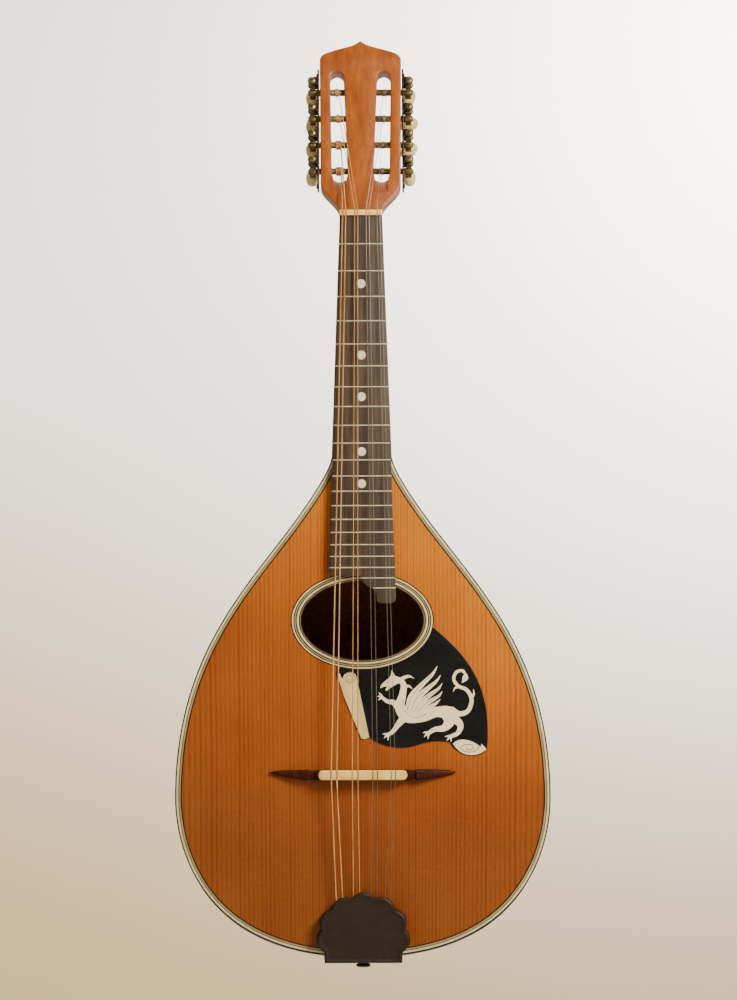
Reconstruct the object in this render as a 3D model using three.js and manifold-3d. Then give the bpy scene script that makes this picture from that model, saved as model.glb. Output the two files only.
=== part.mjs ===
// An eight-string bowl-back mandolin with a slotted headstock.
// Millimetres. +Z runs up the neck, the front faces -Y, +X is the treble side.
// The origin is on the neck's face, at the fingerboard edge of the nut.
import * as THREE from "three";
import { mergeVertices } from "three/addons/utils/BufferGeometryUtils.js";
import Module from "manifold-3d";

const wasm = await Module();
wasm.setup();

// ---- driving dimensions ----
const SCALE = 352.4; // nut edge to saddle
const GAP = 0.3; // between pieces that rest on each other

const JOINT_Z = -152.4; // neck meets body
const JOINT_HALF = 19;
const WIDEST_Z = -368;
const WIDEST_HALF = 118.6;
const TAIL_Z = -468.6;
const CANT_Z = -357.5; // the top bends back below the bridge
const CANT = THREE.MathUtils.degToRad(6);

const TOP_THICK = 2.2;
const RIM_Y = TOP_THICK + GAP; // front edge of the bowl
const BOWL_RATIO = 1.05; // depth of the bowl's section over its half width
const BOWL_WALL = 2.5;
const BINDING_WIDTH = 4.4;
const CLASP = { thick: 0.9, half: 103, edge: 22, rise: 25, fade: 110, columns: 24, rows: 5 };

const HOLE_Z = -255.6;
const HOLE_HALF = [38.2, 24.6];
const ROSETTE_HALF = [45.1, 31];
const ROSETTE_THICK = 1;

const NUT = { half: 13.45, length: 3.5, height: 7.5 };
const BOARD = { thick: 5, endHalf: 21.2, endZ: -236, leftEnd: -227.3, tabEnd: -244.8 };
const NECK_DEPTH = 15; // at the nut, behind the fingerboard

const HEAD_TILT = THREE.MathUtils.degToRad(15);
const HEAD = { thick: 15, half: 25.8, side: 99.6, top: 112.6 };
const SLOT = { low: 19.5, high: 92.2, lowIn: 8, lowOut: 18.2, highIn: 10.6, highOut: 19.1 };

const TUNER = { first: 27.2, pitch: 17.4, depth: 5.5 };
const POST = { radius: 2.1, inner: 5.9, bore: 2.6 };
const GEAR = { radius: 4.3, inner: 28.4, outer: 32.2 };
const WORM = { x: 30.7, above: 6.6, radius: 1.9, front: 1.7, back: 9.3, shaft: 1.15, end: 35.5 };
const PLATE = { inner: 26.2, outer: 27.4, low: 15, high: 94, front: 0.4, back: 12.5 };
const LUG = { reach: 33.2, half: 2.6, thick: 1, hole: 1.5 };
const BUTTON = { front: 33, length: 11, wide: 12.4, thick: 8.4 };

const BRIDGE = { z: -SCALE - 0.5, half: 58.6, saddleHalf: 28, saddleThick: 6.2, step: 5.4, top: 10.3 };
const PICKGUARD_THICK = 0.8;

const NUT_STRING_Y = -6.7;
const SADDLE_STRING_Y = -9.8;
// Lowest string first: radius, x at the nut, saddle and hook, tuner (0 is nearest the nut), x on its post.
const STRINGS = [
  { name: "g1", radius: 0.45, nut: -11.5, saddle: -19.9, hook: -16.6, tuner: 0, post: -12.4 },
  { name: "g2", radius: 0.45, nut: -9.6, saddle: -16.4, hook: -12.4, tuner: 1, post: -12.6 },
  { name: "d1", radius: 0.3, nut: -3.8, saddle: -6.6, hook: -6.2, tuner: 2, post: -13.2 },
  { name: "d2", radius: 0.3, nut: -2, saddle: -3.1, hook: -2, tuner: 3, post: -13.8 },
  { name: "a1", radius: 0.2, nut: 3.3, saddle: 6.3, hook: 4.6, tuner: 3, post: 14.6 },
  { name: "a2", radius: 0.2, nut: 5.2, saddle: 9.3, hook: 8.8, tuner: 2, post: 14 },
  { name: "e1", radius: 0.16, nut: 10.2, saddle: 17.9, hook: 12.9, tuner: 1, post: 13.4 },
  { name: "e2", radius: 0.16, nut: 12, saddle: 20.5, hook: 16.2, tuner: 0, post: 13.2 },
];
const COIL_TURNS = 2.25;

const TAIL = { hookZ: -89, plateTop: -80, plateEnd: -113.4, half: 18.5, thick: 1.2 };
const FLANGE = { front: 10.5, back: 36, half: 14, near: -470.1, far: -470.9 };
const COVER = {
  centreZ: -97.9, radius: 26, bulge: 32.4, lobe: 32, widen: 1.035, wall: 1, height: 8.5,
  endZ: -113.6, half: 24.7, foldBack: 14, foldNear: -471.2, foldFar: -472.2,
};
const END_PIN = { y: 29, radius: 2.5, head: 4.9, near: -471.2, far: -475.9, tip: -450 };

// ---- materials ----
const paint = (color, roughness, metalness = 0) =>
  new THREE.MeshStandardMaterial({ color, roughness, metalness });
const spruce = () => paint(0xc9802f, 0.35);
const mahogany = () => paint(0xb5602a, 0.35);
const rosewood = () => paint(0x3a2019, 0.4);
const darkWood = () => paint(0x33291f, 0.55);
const lightWood = () => paint(0xcfa873, 0.7);
const bone = () => paint(0xe9dcb8, 0.45);
const ivoroid = () => paint(0xe6d49c, 0.35);
const brass = () => paint(0x8b7a4d, 0.4, 0.9);
const bronze = () => paint(0x3b2e22, 0.45, 0.8);
const blackPlastic = () => paint(0x121110, 0.25);

// ---- solids ----
function toSolid(geometry) {
  const plain = geometry.clone();
  plain.deleteAttribute("normal");
  plain.deleteAttribute("uv");
  const merged = mergeVertices(plain, 1e-4);
  const triVerts = new Uint32Array(merged.index.array);
  const vertProperties = new Float32Array(merged.attributes.position.array);
  return new wasm.Manifold(new wasm.Mesh({ numProp: 3, vertProperties, triVerts }));
}

function toGeometry(solid) {
  const mesh = solid.getMesh();
  const geometry = new THREE.BufferGeometry();
  geometry.setAttribute("position", new THREE.BufferAttribute(mesh.vertProperties, 3));
  geometry.setIndex(new THREE.BufferAttribute(mesh.triVerts, 1));
  return geometry;
}

function cut(body, ...tools) {
  return tools.reduce((solid, tool) => solid.subtract(toSolid(tool)), toSolid(body));
}

function join(...pieces) {
  return pieces.map(toSolid).reduce((a, b) => a.add(b));
}

function named(name, geometry, material) {
  const mesh = new THREE.Mesh(geometry, material);
  mesh.name = name;
  return mesh;
}

function box(x, y, z) {
  const geometry = new THREE.BoxGeometry(x[1] - x[0], y[1] - y[0], z[1] - z[0]);
  return geometry.translate((x[0] + x[1]) / 2, (y[0] + y[1]) / 2, (z[0] + z[1]) / 2);
}

// A shape drawn in X and Z, from y0 back to y1.
function plate(shape, y0, y1, curveSegments = 6) {
  const depth = y1 - y0;
  const geometry = new THREE.ExtrudeGeometry(shape, { depth, bevelEnabled: false, curveSegments });
  return geometry.rotateX(Math.PI / 2).translate(0, y1, 0);
}

// A shape drawn in Y and Z, from x0 to x1.
function slab(shape, x0, x1) {
  const geometry = new THREE.ExtrudeGeometry(shape, { depth: x1 - x0, bevelEnabled: false });
  const axes = new THREE.Matrix4().makeBasis(
    new THREE.Vector3(0, 1, 0), new THREE.Vector3(0, 0, 1), new THREE.Vector3(1, 0, 0));
  return geometry.applyMatrix4(axes).translate(x0, 0, 0);
}

function polygon(points) {
  return new THREE.Shape(points.map(([x, y]) => new THREE.Vector2(x, y)));
}

function ellipse(half, z, grow = 0) {
  const shape = new THREE.Shape();
  shape.absellipse(0, z, half[0] + grow, half[1] + grow, 0, 2 * Math.PI);
  return shape;
}

// Turned about X; the profile lists [radius, x].
function turnedX(profile, segments = 10) {
  const points = profile.map(([r, x]) => new THREE.Vector2(r, x));
  return new THREE.LatheGeometry(points, segments).rotateZ(-Math.PI / 2);
}

// Turned about Y; the profile lists [radius, y].
function turnedY(profile, segments = 8) {
  return new THREE.LatheGeometry(profile.map(([r, y]) => new THREE.Vector2(r, y)), segments);
}

function rod(axis, radius, from, to, centre, segments = 12) {
  const geometry = new THREE.CylinderGeometry(radius, radius, Math.abs(to - from), segments);
  if (axis === "x") geometry.rotateZ(Math.PI / 2);
  if (axis === "z") geometry.rotateX(Math.PI / 2);
  const middle = (from + to) / 2;
  const [a, b] = centre;
  if (axis === "x") return geometry.translate(middle, a, b);
  if (axis === "y") return geometry.translate(a, middle, b);
  return geometry.translate(a, b, middle);
}

// Skins a row of closed rings and caps both ends. Rings may shrink to a line or a point. The two
// axes are those that the end rings are seen along.
function skin(rings, axes = ["x", "y"]) {
  const count = rings[0].length;
  const positions = rings.flat().flatMap((p) => [p.x, p.y, p.z]);
  const faces = [];
  for (let row = 0; row + 1 < rings.length; row++) {
    for (let i = 0; i < count; i++) {
      const a = row * count + i;
      const b = row * count + ((i + 1) % count);
      faces.push([a, b, b + count], [a, b + count, a + count]);
    }
  }
  [0, rings.length - 1].forEach((row, last) => {
    const outline = rings[row].map((p) => new THREE.Vector2(p[axes[0]], p[axes[1]]));
    const turned = THREE.ShapeUtils.isClockWise(outline) !== Boolean(last);
    for (const [a, b, c] of THREE.ShapeUtils.triangulateShape(outline, [])) {
      const corners = [a, b, c].map((i) => i + row * count);
      faces.push(turned ? corners : corners.reverse());
    }
  });
  const geometry = new THREE.BufferGeometry();
  geometry.setAttribute("position", new THREE.Float32BufferAttribute(positions, 3));
  geometry.setIndex(faces.flat());
  const merged = mergeVertices(geometry, 1e-4);
  const index = merged.index.array;
  const kept = [];
  for (let i = 0; i < index.length; i += 3) {
    const [a, b, c] = [index[i], index[i + 1], index[i + 2]];
    if (a !== b && b !== c && c !== a) kept.push(a, b, c);
  }
  merged.setIndex(kept);
  return signedVolume(merged) < 0 ? flipped(merged) : merged;
}

function signedVolume(geometry) {
  const index = geometry.index.array;
  const corner = (i) => new THREE.Vector3().fromBufferAttribute(geometry.attributes.position, index[i]);
  let volume = 0;
  for (let i = 0; i < index.length; i += 3) {
    volume += corner(i).dot(corner(i + 1).cross(corner(i + 2))) / 6;
  }
  return volume;
}

function flipped(geometry) {
  const index = Array.from(geometry.index.array);
  for (let i = 0; i < index.length; i += 3) {
    [index[i], index[i + 1]] = [index[i + 1], index[i]];
  }
  geometry.setIndex(index);
  return geometry;
}

// ---- frames ----
const headMatrix = new THREE.Matrix4()
  .makeTranslation(0, 0, NUT.length)
  .multiply(new THREE.Matrix4().makeRotationX(-HEAD_TILT));
const tailMatrix = new THREE.Matrix4()
  .makeTranslation(0, 0, CANT_Z)
  .multiply(new THREE.Matrix4().makeRotationX(CANT));

// ---- body outline ----
const SIDE = new THREE.CurvePath();
SIDE.add(new THREE.CubicBezierCurve(
  new THREE.Vector2(JOINT_HALF, JOINT_Z), new THREE.Vector2(43.8, -214.9),
  new THREE.Vector2(WIDEST_HALF, -251), new THREE.Vector2(WIDEST_HALF, WIDEST_Z)));
SIDE.add(new THREE.CubicBezierCurve(
  new THREE.Vector2(WIDEST_HALF, WIDEST_Z), new THREE.Vector2(WIDEST_HALF, WIDEST_Z - 21.5),
  new THREE.Vector2(110, TAIL_Z), new THREE.Vector2(0, TAIL_Z)));
const SIDE_ROWS = 26;

// A point of the body's right side, moved inwards by inset; t is 0 at the neck and 1 at the tail.
function sidePoint(t, inset) {
  const point = SIDE.getPoint(t);
  const along = SIDE.getTangent(t);
  point.x += along.y * inset;
  point.y -= along.x * inset;
  if (t === 1) point.x = 0;
  if (t === 0) {
    point.x += (JOINT_Z - point.y) * (along.x / along.y);
    point.y = JOINT_Z;
  }
  return point;
}

function topY(z) {
  return Math.max(0, (CANT_Z - z) * Math.tan(CANT));
}

function rows(from = 0, to = 1) {
  const count = Math.max(2, Math.round(SIDE_ROWS * (to - from)));
  return Array.from({ length: count + 1 }, (_, i) => from + ((to - from) * i) / count);
}

// A strip that follows the edge of the top, between two insets.
function edgeStrip(ts, side, insets, y0, y1) {
  return ts.map((t) => {
    const [outer, inner] = insets.map((inset) => sidePoint(t, inset));
    const at = (p, y) => new THREE.Vector3(side * p.x, y + topY(p.y), p.y);
    return [at(outer, y0), at(outer, y1), at(inner, y1), at(inner, y0)];
  });
}

const BOWL_STEPS = 15; // three in each group of ribs
const RIB_GAP = THREE.MathUtils.degToRad(0.1); // at each side of a group
const RIB_GROUPS = ["ribs_treble_edge", "ribs_treble", "ribs_back", "ribs_bass", "ribs_bass_edge"];

// Part of one section of the bowl, from step first to step last round it.
function bowlRow(t, inset, first = 0, last = BOWL_STEPS, gap = 0) {
  const p = sidePoint(t, inset);
  return Array.from({ length: last - first + 1 }, (_, i) => {
    const trim = (i === 0 ? gap : 0) - (i === last - first ? gap : 0);
    const angle = (Math.PI * (first + i)) / BOWL_STEPS + trim;
    const depth = BOWL_RATIO * p.x * Math.sin(angle);
    return new THREE.Vector3(p.x * Math.cos(angle), RIM_Y + topY(p.y) + depth, p.y);
  });
}

// The bowl's whole volume under a flat lid.
function bowlSolid(inset) {
  return skin(rows().map((t) => bowlRow(t, inset)));
}

const endPinBore = () => rod("z", END_PIN.radius + GAP, END_PIN.tip + 3, END_PIN.far, [0, END_PIN.y]);

// ---- body ----
// The bowl's ribs run from the neck to the tail; neighbours are glued up in groups.
function bowlRibs() {
  const steps = BOWL_STEPS / RIB_GROUPS.length;
  return RIB_GROUPS.map((name, group) => {
    const [first, last] = [group * steps, (group + 1) * steps];
    const rings = rows().map((t) =>
      [0, BOWL_WALL].flatMap((inset) => {
        const row = bowlRow(t, inset, first, last, RIB_GAP);
        return inset ? row.reverse() : row;
      }));
    return named(name, toGeometry(cut(skin(rings), endPinBore())), rosewood());
  });
}

// The height on the tail end where the body is twice half wide.
function tailZ(half, inset) {
  let [near, far] = [0.5, 1];
  for (let step = 0; step < 40; step++) {
    const middle = (near + far) / 2;
    if (sidePoint(middle, inset).x > half) near = middle;
    else far = middle;
  }
  return sidePoint(far, inset).y;
}

function tailClasp() {
  const surface = (inset, row) =>
    Array.from({ length: CLASP.columns + 1 }, (_, i) => {
      const x = CLASP.half * ((2 * i) / CLASP.columns - 1);
      const edge = CLASP.edge + CLASP.rise * Math.cos(((Math.PI / 2) * x) / CLASP.fade) ** 2;
      const depth = (edge * row) / CLASP.rows;
      const z = tailZ(Math.hypot(x, depth / BOWL_RATIO), inset);
      return new THREE.Vector3(x, RIM_Y + topY(z) + depth, z);
    });
  const rings = Array.from({ length: CLASP.rows + 1 }, (_, row) =>
    [...surface(-GAP - CLASP.thick, row), ...surface(-GAP, row).reverse()]);
  return named("tail_clasp", toGeometry(cut(skin(rings, ["x", "z"]), endPinBore())), rosewood());
}

function blocks() {
  const inside = toSolid(bowlSolid(BOWL_WALL + GAP));
  const neckEnd = inside.intersect(toSolid(box([-40, 40], [0, 40], [-188, JOINT_Z - GAP])));
  const tailEnd = inside.intersect(toSolid(box([-34, 34], [0, 62], [TAIL_Z, -450])));
  return [
    named("neck_block", toGeometry(neckEnd), lightWood()),
    named("tail_block", toGeometry(tailEnd.subtract(toSolid(endPinBore()))), lightWood()),
  ];
}

function linings() {
  return [["lining_left", -1], ["lining_right", 1]].map(([name, side]) => {
    const strip = edgeStrip(rows(0.16, 0.89), side, [3.8, 9], RIM_Y, RIM_Y + 6.5);
    return named(name, skin(strip), lightWood());
  });
}

function braces() {
  const upper = box([-32, 32], [RIM_Y, 11], [-214, -208]);
  const lower = box([-82, 82], [RIM_Y, 13], [-303, -296]);
  const bridge = box([-92, 92], [RIM_Y, 12], [-42, -35]).applyMatrix4(tailMatrix);
  return [
    named("brace_upper", upper, lightWood()),
    named("brace_lower", lower, lightWood()),
    named("brace_bridge", bridge, lightWood()),
  ];
}

function soundboard() {
  const inset = BINDING_WIDTH + GAP;
  const rings = rows().map((t) => {
    const p = sidePoint(t, inset);
    const [front, back] = [topY(p.y), topY(p.y) + TOP_THICK];
    return [[-1, front], [1, front], [1, back], [-1, back]]
      .map(([side, y]) => new THREE.Vector3(side * p.x, y, p.y));
  });
  const recess = plate(ellipse(ROSETTE_HALF, HOLE_Z, 0.1), -1, ROSETTE_THICK + 0.1, 24);
  const hole = plate(ellipse(HOLE_HALF, HOLE_Z), -1, TOP_THICK + 1, 24);
  return named("soundboard", toGeometry(cut(skin(rings), recess, hole)), spruce());
}

function binding() {
  const insets = [0, BINDING_WIDTH];
  const right = edgeStrip(rows(), 1, insets, 0, TOP_THICK);
  const left = edgeStrip(rows(), -1, insets, 0, TOP_THICK).reverse().slice(1);
  return named("binding", skin([...right, ...left]), ivoroid());
}

function rosette() {
  const ring = ellipse(ROSETTE_HALF, HOLE_Z);
  ring.holes.push(ellipse(HOLE_HALF, HOLE_Z));
  return named("rosette", plate(ring, 0, ROSETTE_THICK, 24), ivoroid());
}

// The plate's top edge follows the rosette; its left edge is a slanting strip.
function pickguard() {
  const clear = 0.4;
  const [a, b] = ROSETTE_HALF.map((half) => half + clear);
  const shape = new THREE.Shape();
  const start = -0.16;
  const end = -1.93;
  shape.absellipse(0, HOLE_Z, a, b, start, end, true);
  shape.lineTo(-16.5, -290);
  shape.lineTo(-1.1, -330.6);
  shape.lineTo(4.7, -329.6);
  shape.bezierCurveTo(14, -336, 26, -337.5, 36, -333.6);
  shape.quadraticCurveTo(46, -330.5, 55, -332.4);
  shape.bezierCurveTo(60, -341, 73, -344.5, 78.5, -336.5);
  shape.bezierCurveTo(81.5, -300, 69.5, -280, 45.2, -260.4);
  return named("pickguard", plate(shape, -PICKGUARD_THICK, 0, 10), blackPlastic());
}

// ---- neck and fingerboard ----
function boardHalf(z) {
  return NUT.half + ((BOARD.endHalf - NUT.half) * z) / BOARD.endZ;
}

function headOutline() {
  const shape = new THREE.Shape();
  shape.moveTo(NUT.half, 0);
  shape.bezierCurveTo(15, 6, 24, 11, 25.3, 17);
  shape.lineTo(HEAD.half, HEAD.side);
  const crown = [[25, 102.1], [22.5, 104.2], [15.4, 106.6], [6.9, 108.9], [3.2, 110.4]];
  crown.forEach(([x, z]) => shape.lineTo(x, z));
  shape.lineTo(0, HEAD.top);
  [...crown].reverse().forEach(([x, z]) => shape.lineTo(-x, z));
  shape.lineTo(-HEAD.half, HEAD.side);
  shape.lineTo(-25.3, 17);
  shape.bezierCurveTo(-24, 11, -15, 6, -NUT.half, 0);
  return shape;
}

function slotShape(side) {
  const low = (SLOT.lowOut - SLOT.lowIn) / 2;
  const high = (SLOT.highOut - SLOT.highIn) / 2;
  const shape = new THREE.Shape();
  shape.absarc(side * (SLOT.highIn + high), SLOT.high - high, high, 0, Math.PI, false);
  shape.absarc(side * (SLOT.lowIn + low), SLOT.low + low, low, Math.PI, 2 * Math.PI, false);
  return shape;
}

function tunerHeights() {
  return [0, 1, 2, 3].map((i) => TUNER.first + i * TUNER.pitch);
}

function head() {
  const tools = [];
  for (const side of [-1, 1]) {
    tools.push(plate(slotShape(side), -1, HEAD.thick + 1, 5));
    const ramp = polygon([[-1, 10], [-1, 26], [6, 26]]);
    const inner = side * (SLOT.lowIn + 0.6);
    const outer = side * (SLOT.lowOut - 0.6);
    tools.push(slab(ramp, Math.min(inner, outer), Math.max(inner, outer)));
    for (const height of tunerHeights()) {
      tools.push(rod("x", POST.bore, side * (POST.inner - 0.5), side * 30, [TUNER.depth, height], 8));
    }
  }
  const body = cut(plate(headOutline(), 0, HEAD.thick, 6), ...tools);
  return toGeometry(body).applyMatrix4(headMatrix);
}

function neckShaft() {
  const steps = 10;
  const sides = 12;
  const rings = [];
  for (let i = 0; i <= steps; i++) {
    const z = NUT.length + ((JOINT_Z - NUT.length) * i) / steps;
    const u = Math.max(0, z / JOINT_Z);
    const half = NUT.half + (JOINT_HALF - NUT.half) * u;
    const depth = NECK_DEPTH + 2 * u + 5.4 * u ** 6;
    rings.push(Array.from({ length: sides + 1 }, (_, k) => {
      const angle = (Math.PI * k) / sides;
      return new THREE.Vector3(half * Math.cos(angle), depth * Math.sin(angle), z);
    }));
  }
  return skin(rings);
}

function neck() {
  return named("neck", toGeometry(join(neckShaft(), head())), mahogany());
}

function fingerboard() {
  const shape = new THREE.Shape();
  const left = -boardHalf(BOARD.leftEnd + 3);
  const right = boardHalf(BOARD.tabEnd);
  shape.moveTo(-NUT.half, 0);
  shape.lineTo(left, BOARD.leftEnd + 3);
  shape.quadraticCurveTo(left, BOARD.leftEnd, left + 3, BOARD.leftEnd);
  shape.lineTo(-1, BOARD.leftEnd);
  shape.quadraticCurveTo(0, -233, 6, -235.3);
  shape.quadraticCurveTo(9, -237, 9, -241);
  shape.quadraticCurveTo(9, BOARD.tabEnd, 12.5, BOARD.tabEnd);
  shape.lineTo(right - 4, BOARD.tabEnd);
  shape.quadraticCurveTo(right, BOARD.tabEnd, right - 0.2, BOARD.tabEnd + 4.5);
  shape.lineTo(NUT.half, 0);
  return named("fingerboard", plate(shape, -BOARD.thick, 0), darkWood());
}

// A slot in the nut or saddle, open to the front, that clears its string.
function stringSlot(string, x, y, z0, z1) {
  const half = string.radius + 0.15;
  return box([x - half, x + half], [y - 3, y + half + GAP], [z0, z1]);
}

function nut() {
  const body = box([-NUT.half, NUT.half], [-NUT.height, 0], [0, NUT.length]);
  const slots = STRINGS.map((s) => stringSlot(s, s.nut, NUT_STRING_Y, -1, NUT.length + 1));
  return named("nut", toGeometry(cut(body, ...slots)), bone());
}

// ---- bridge ----
function bridgeBase() {
  const half = [[28.4, -3.3], [28.4, -2.6], [34, -2.6], [34.4, -3.5], [46, -2.6]];
  const lower = [...half.map(([x, z]) => [-x, z]).reverse(), ...half];
  const upper = lower.map(([x, z]) => [x, -z]).reverse();
  const outline = polygon([[-BRIDGE.half, 0], ...lower, [BRIDGE.half, 0], ...upper]);
  const profile = polygon([
    [-BRIDGE.half, 0], [BRIDGE.half, 0], [BRIDGE.half, -1.6], [34.4, -6], [34, -4.4],
    [28.4, -BRIDGE.step], [-28.4, -BRIDGE.step], [-34, -4.4], [-34.4, -6], [-BRIDGE.half, -1.6],
  ]);
  const side = new THREE.ExtrudeGeometry(profile, { depth: 20, bevelEnabled: false });
  side.translate(0, 0, BRIDGE.z - 10);
  const face = plate(outline, -BRIDGE.top, 1).translate(0, 0, BRIDGE.z);
  return named("bridge_base", toGeometry(toSolid(face).intersect(toSolid(side))), rosewood());
}

function bridgeSaddle() {
  const half = BRIDGE.saddleHalf;
  const round = BRIDGE.saddleThick / 2;
  const shape = new THREE.Shape();
  shape.absarc(half - round, 0, round, -Math.PI / 2, Math.PI / 2, false);
  shape.absarc(round - half, 0, round, Math.PI / 2, 1.5 * Math.PI, false);
  const body = plate(shape, -BRIDGE.top, -BRIDGE.step, 4).translate(0, 0, BRIDGE.z);
  const [z0, z1] = [BRIDGE.z - 4, BRIDGE.z + 4];
  const slots = STRINGS.map((s) => stringSlot(s, s.saddle, SADDLE_STRING_Y, z0, z1));
  return named("bridge_saddle", toGeometry(cut(body, ...slots)), bone());
}

// ---- tailpiece ----
function tailpieceBase() {
  const sheet = box([-TAIL.half, TAIL.half], [-GAP - TAIL.thick, -GAP], [TAIL.plateEnd, TAIL.plateTop]);
  const flange = box([-FLANGE.half, FLANGE.half], [FLANGE.front, FLANGE.back], [FLANGE.far, FLANGE.near]);
  const hooks = STRINGS.map((s) => box([s.hook - 0.8, s.hook + 0.8], [-5, -1], [TAIL.hookZ - 2.4, TAIL.hookZ - 0.8]));
  const pieces = [sheet, ...hooks].map((piece) => piece.applyMatrix4(tailMatrix));
  const body = join(...pieces, flange).subtract(toSolid(endPinBore()));
  return named("tailpiece_base", toGeometry(body), brass());
}

// Seven scallops round a circle, then straight down to the tail.
function coverOutline(inset, endZ) {
  const radius = COVER.radius - inset;
  const at = (degrees, r) => {
    const angle = THREE.MathUtils.degToRad(degrees);
    return [COVER.widen * r * Math.cos(angle), COVER.centreZ + r * Math.sin(angle)];
  };
  const start = 90 - 3.5 * COVER.lobe;
  const shape = new THREE.Shape();
  shape.moveTo(COVER.half - inset, endZ);
  shape.lineTo(...at(start, radius));
  for (let lobe = 0; lobe < 7; lobe++) {
    const from = start + lobe * COVER.lobe;
    shape.quadraticCurveTo(...at(from + COVER.lobe / 2, COVER.bulge - inset), ...at(from + COVER.lobe, radius));
  }
  shape.lineTo(inset - COVER.half, endZ);
  return shape;
}

function tailpieceCover() {
  const outer = plate(coverOutline(0, COVER.endZ), -COVER.height, -2 * GAP, 5);
  const inner = plate(coverOutline(COVER.wall, COVER.endZ - 5), COVER.wall - COVER.height, 1, 5);
  const mouth = box([-20, 20], [COVER.wall - COVER.height, 1], [-85, -60]);
  const shell = toGeometry(cut(outer, inner, mouth)).applyMatrix4(tailMatrix);
  const fold = box([-COVER.half, COVER.half], [3.3, COVER.foldBack], [COVER.foldFar, COVER.foldNear]);
  const lip = box([-COVER.half, COVER.half], [-COVER.height, COVER.wall - COVER.height], [-115.2, -113]);
  const cover = join(shell, lip.applyMatrix4(tailMatrix), fold);
  return named("tailpiece_cover", toGeometry(cover), bronze());
}

function strapButton() {
  const { radius, head: rim, near, far, tip } = END_PIN;
  const profile = [[0, far], [3.6, far], [rim, far + 1], [rim, far + 2.4], [3.4, far + 3.4],
    [3.8, near], [radius, near], [radius - 0.6, tip], [0, tip]];
  const button = turnedY(profile, 14).rotateX(Math.PI / 2).translate(0, END_PIN.y, 0);
  return named("strap_button", button, blackPlastic());
}

// ---- tuners ----
function tunerPlate(side) {
  const body = box([PLATE.inner, PLATE.outer], [PLATE.front, PLATE.back], [PLATE.low, PLATE.high]);
  const rear = WORM.back + GAP;
  const lugs = [];
  const holes = [];
  for (const height of tunerHeights()) {
    const z = height + WORM.above;
    for (const y of [PLATE.front, rear]) {
      lugs.push(box([PLATE.inner + 0.2, LUG.reach], [y, y + LUG.thick], [z - LUG.half, z + LUG.half]));
    }
    holes.push(rod("y", LUG.hole, PLATE.front - 1, rear + 2, [WORM.x, z], 8));
    holes.push(rod("x", POST.bore, PLATE.inner - 1, PLATE.outer + 0.9, [TUNER.depth, height], 8));
  }
  const solid = holes.reduce((s, hole) => s.subtract(toSolid(hole)), join(body, ...lugs));
  const geometry = toGeometry(solid);
  if (side < 0) geometry.rotateZ(Math.PI).translate(0, PLATE.front + PLATE.back, 0);
  return geometry;
}

function tunerPost() {
  const { inner, outer, radius } = GEAR;
  return turnedX([[0, outer + 1], [1.9, outer + 1], [1.9, outer], [radius, outer], [radius, inner],
    [POST.radius, inner], [POST.radius, POST.inner], [0, POST.inner]].reverse());
}

function wormShaft() {
  const { shaft, radius, front, back, end } = WORM;
  return turnedY([[0, -1.7], [1.5, -1.7], [2.4, -1], [2.4, 0.1], [shaft, 0.1], [shaft, front],
    [radius, front], [radius, back], [shaft, back], [shaft, end], [0, end]]);
}

function oval() {
  const body = new THREE.SphereGeometry(1, 10, 6).rotateX(Math.PI / 2);
  body.scale(BUTTON.thick / 2, BUTTON.length / 2, BUTTON.wide / 2);
  body.translate(0, BUTTON.front + BUTTON.length / 2, 0);
  const bore = rod("y", WORM.shaft + GAP, BUTTON.front - 1, WORM.end + GAP, [0, 0], 8);
  return toGeometry(cut(body, bore));
}

// Each button stands at the angle that its last tuning left it at.
const BUTTON_TURNS = { left: [5, -12, 8, -6], right: [-8, 58, 74, 20] };

function tuners() {
  const group = new THREE.Group();
  group.applyMatrix4(headMatrix);
  const [wormGeometry, ovalGeometry, postGeometry] = [wormShaft(), oval(), tunerPost()];
  for (const [label, side] of [["left", -1], ["right", 1]]) {
    group.add(named(`tuner_plate_${label}`, mirroredPlate(side), brass()));
    tunerHeights().forEach((height, i) => {
      const post = named(`post_${label}_${i + 1}`, postGeometry.clone(), brass());
      post.position.set(0, TUNER.depth, height);
      if (side < 0) post.rotation.z = Math.PI;
      const key = new THREE.Group();
      key.position.set(side * WORM.x, 0, height + WORM.above);
      key.add(named(`worm_${label}_${i + 1}`, wormGeometry.clone(), brass()));
      const button = named(`button_${label}_${i + 1}`, ovalGeometry.clone(), ivoroid());
      button.rotation.y = THREE.MathUtils.degToRad(BUTTON_TURNS[label][i]);
      key.add(button);
      group.add(post, key);
    });
  }
  return group;
}

// The left plate is the right one mirrored, with its faces turned out again.
function mirroredPlate(side) {
  const geometry = tunerPlate(1);
  return side > 0 ? geometry : flipped(geometry.scale(-1, 1, 1));
}

// ---- strings ----
// A curve through points that an extrusion samples at the points themselves.
class PointPath extends THREE.Curve {
  constructor(points) {
    super();
    this.points = points;
  }

  getPoint(t) {
    const place = t * (this.points.length - 1);
    const i = Math.min(Math.floor(place + 1e-6), this.points.length - 2);
    return this.points[i].clone().lerp(this.points[i + 1], place - i);
  }

  getPointAt(u) {
    return this.getPoint(u);
  }

  getTangent(t) {
    const i = Math.round(t * (this.points.length - 1));
    const before = this.points[Math.max(0, i - 1)];
    const after = this.points[Math.min(this.points.length - 1, i + 1)];
    return after.clone().sub(before).normalize();
  }

  getTangentAt(u) {
    return this.getTangent(u);
  }
}

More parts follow.
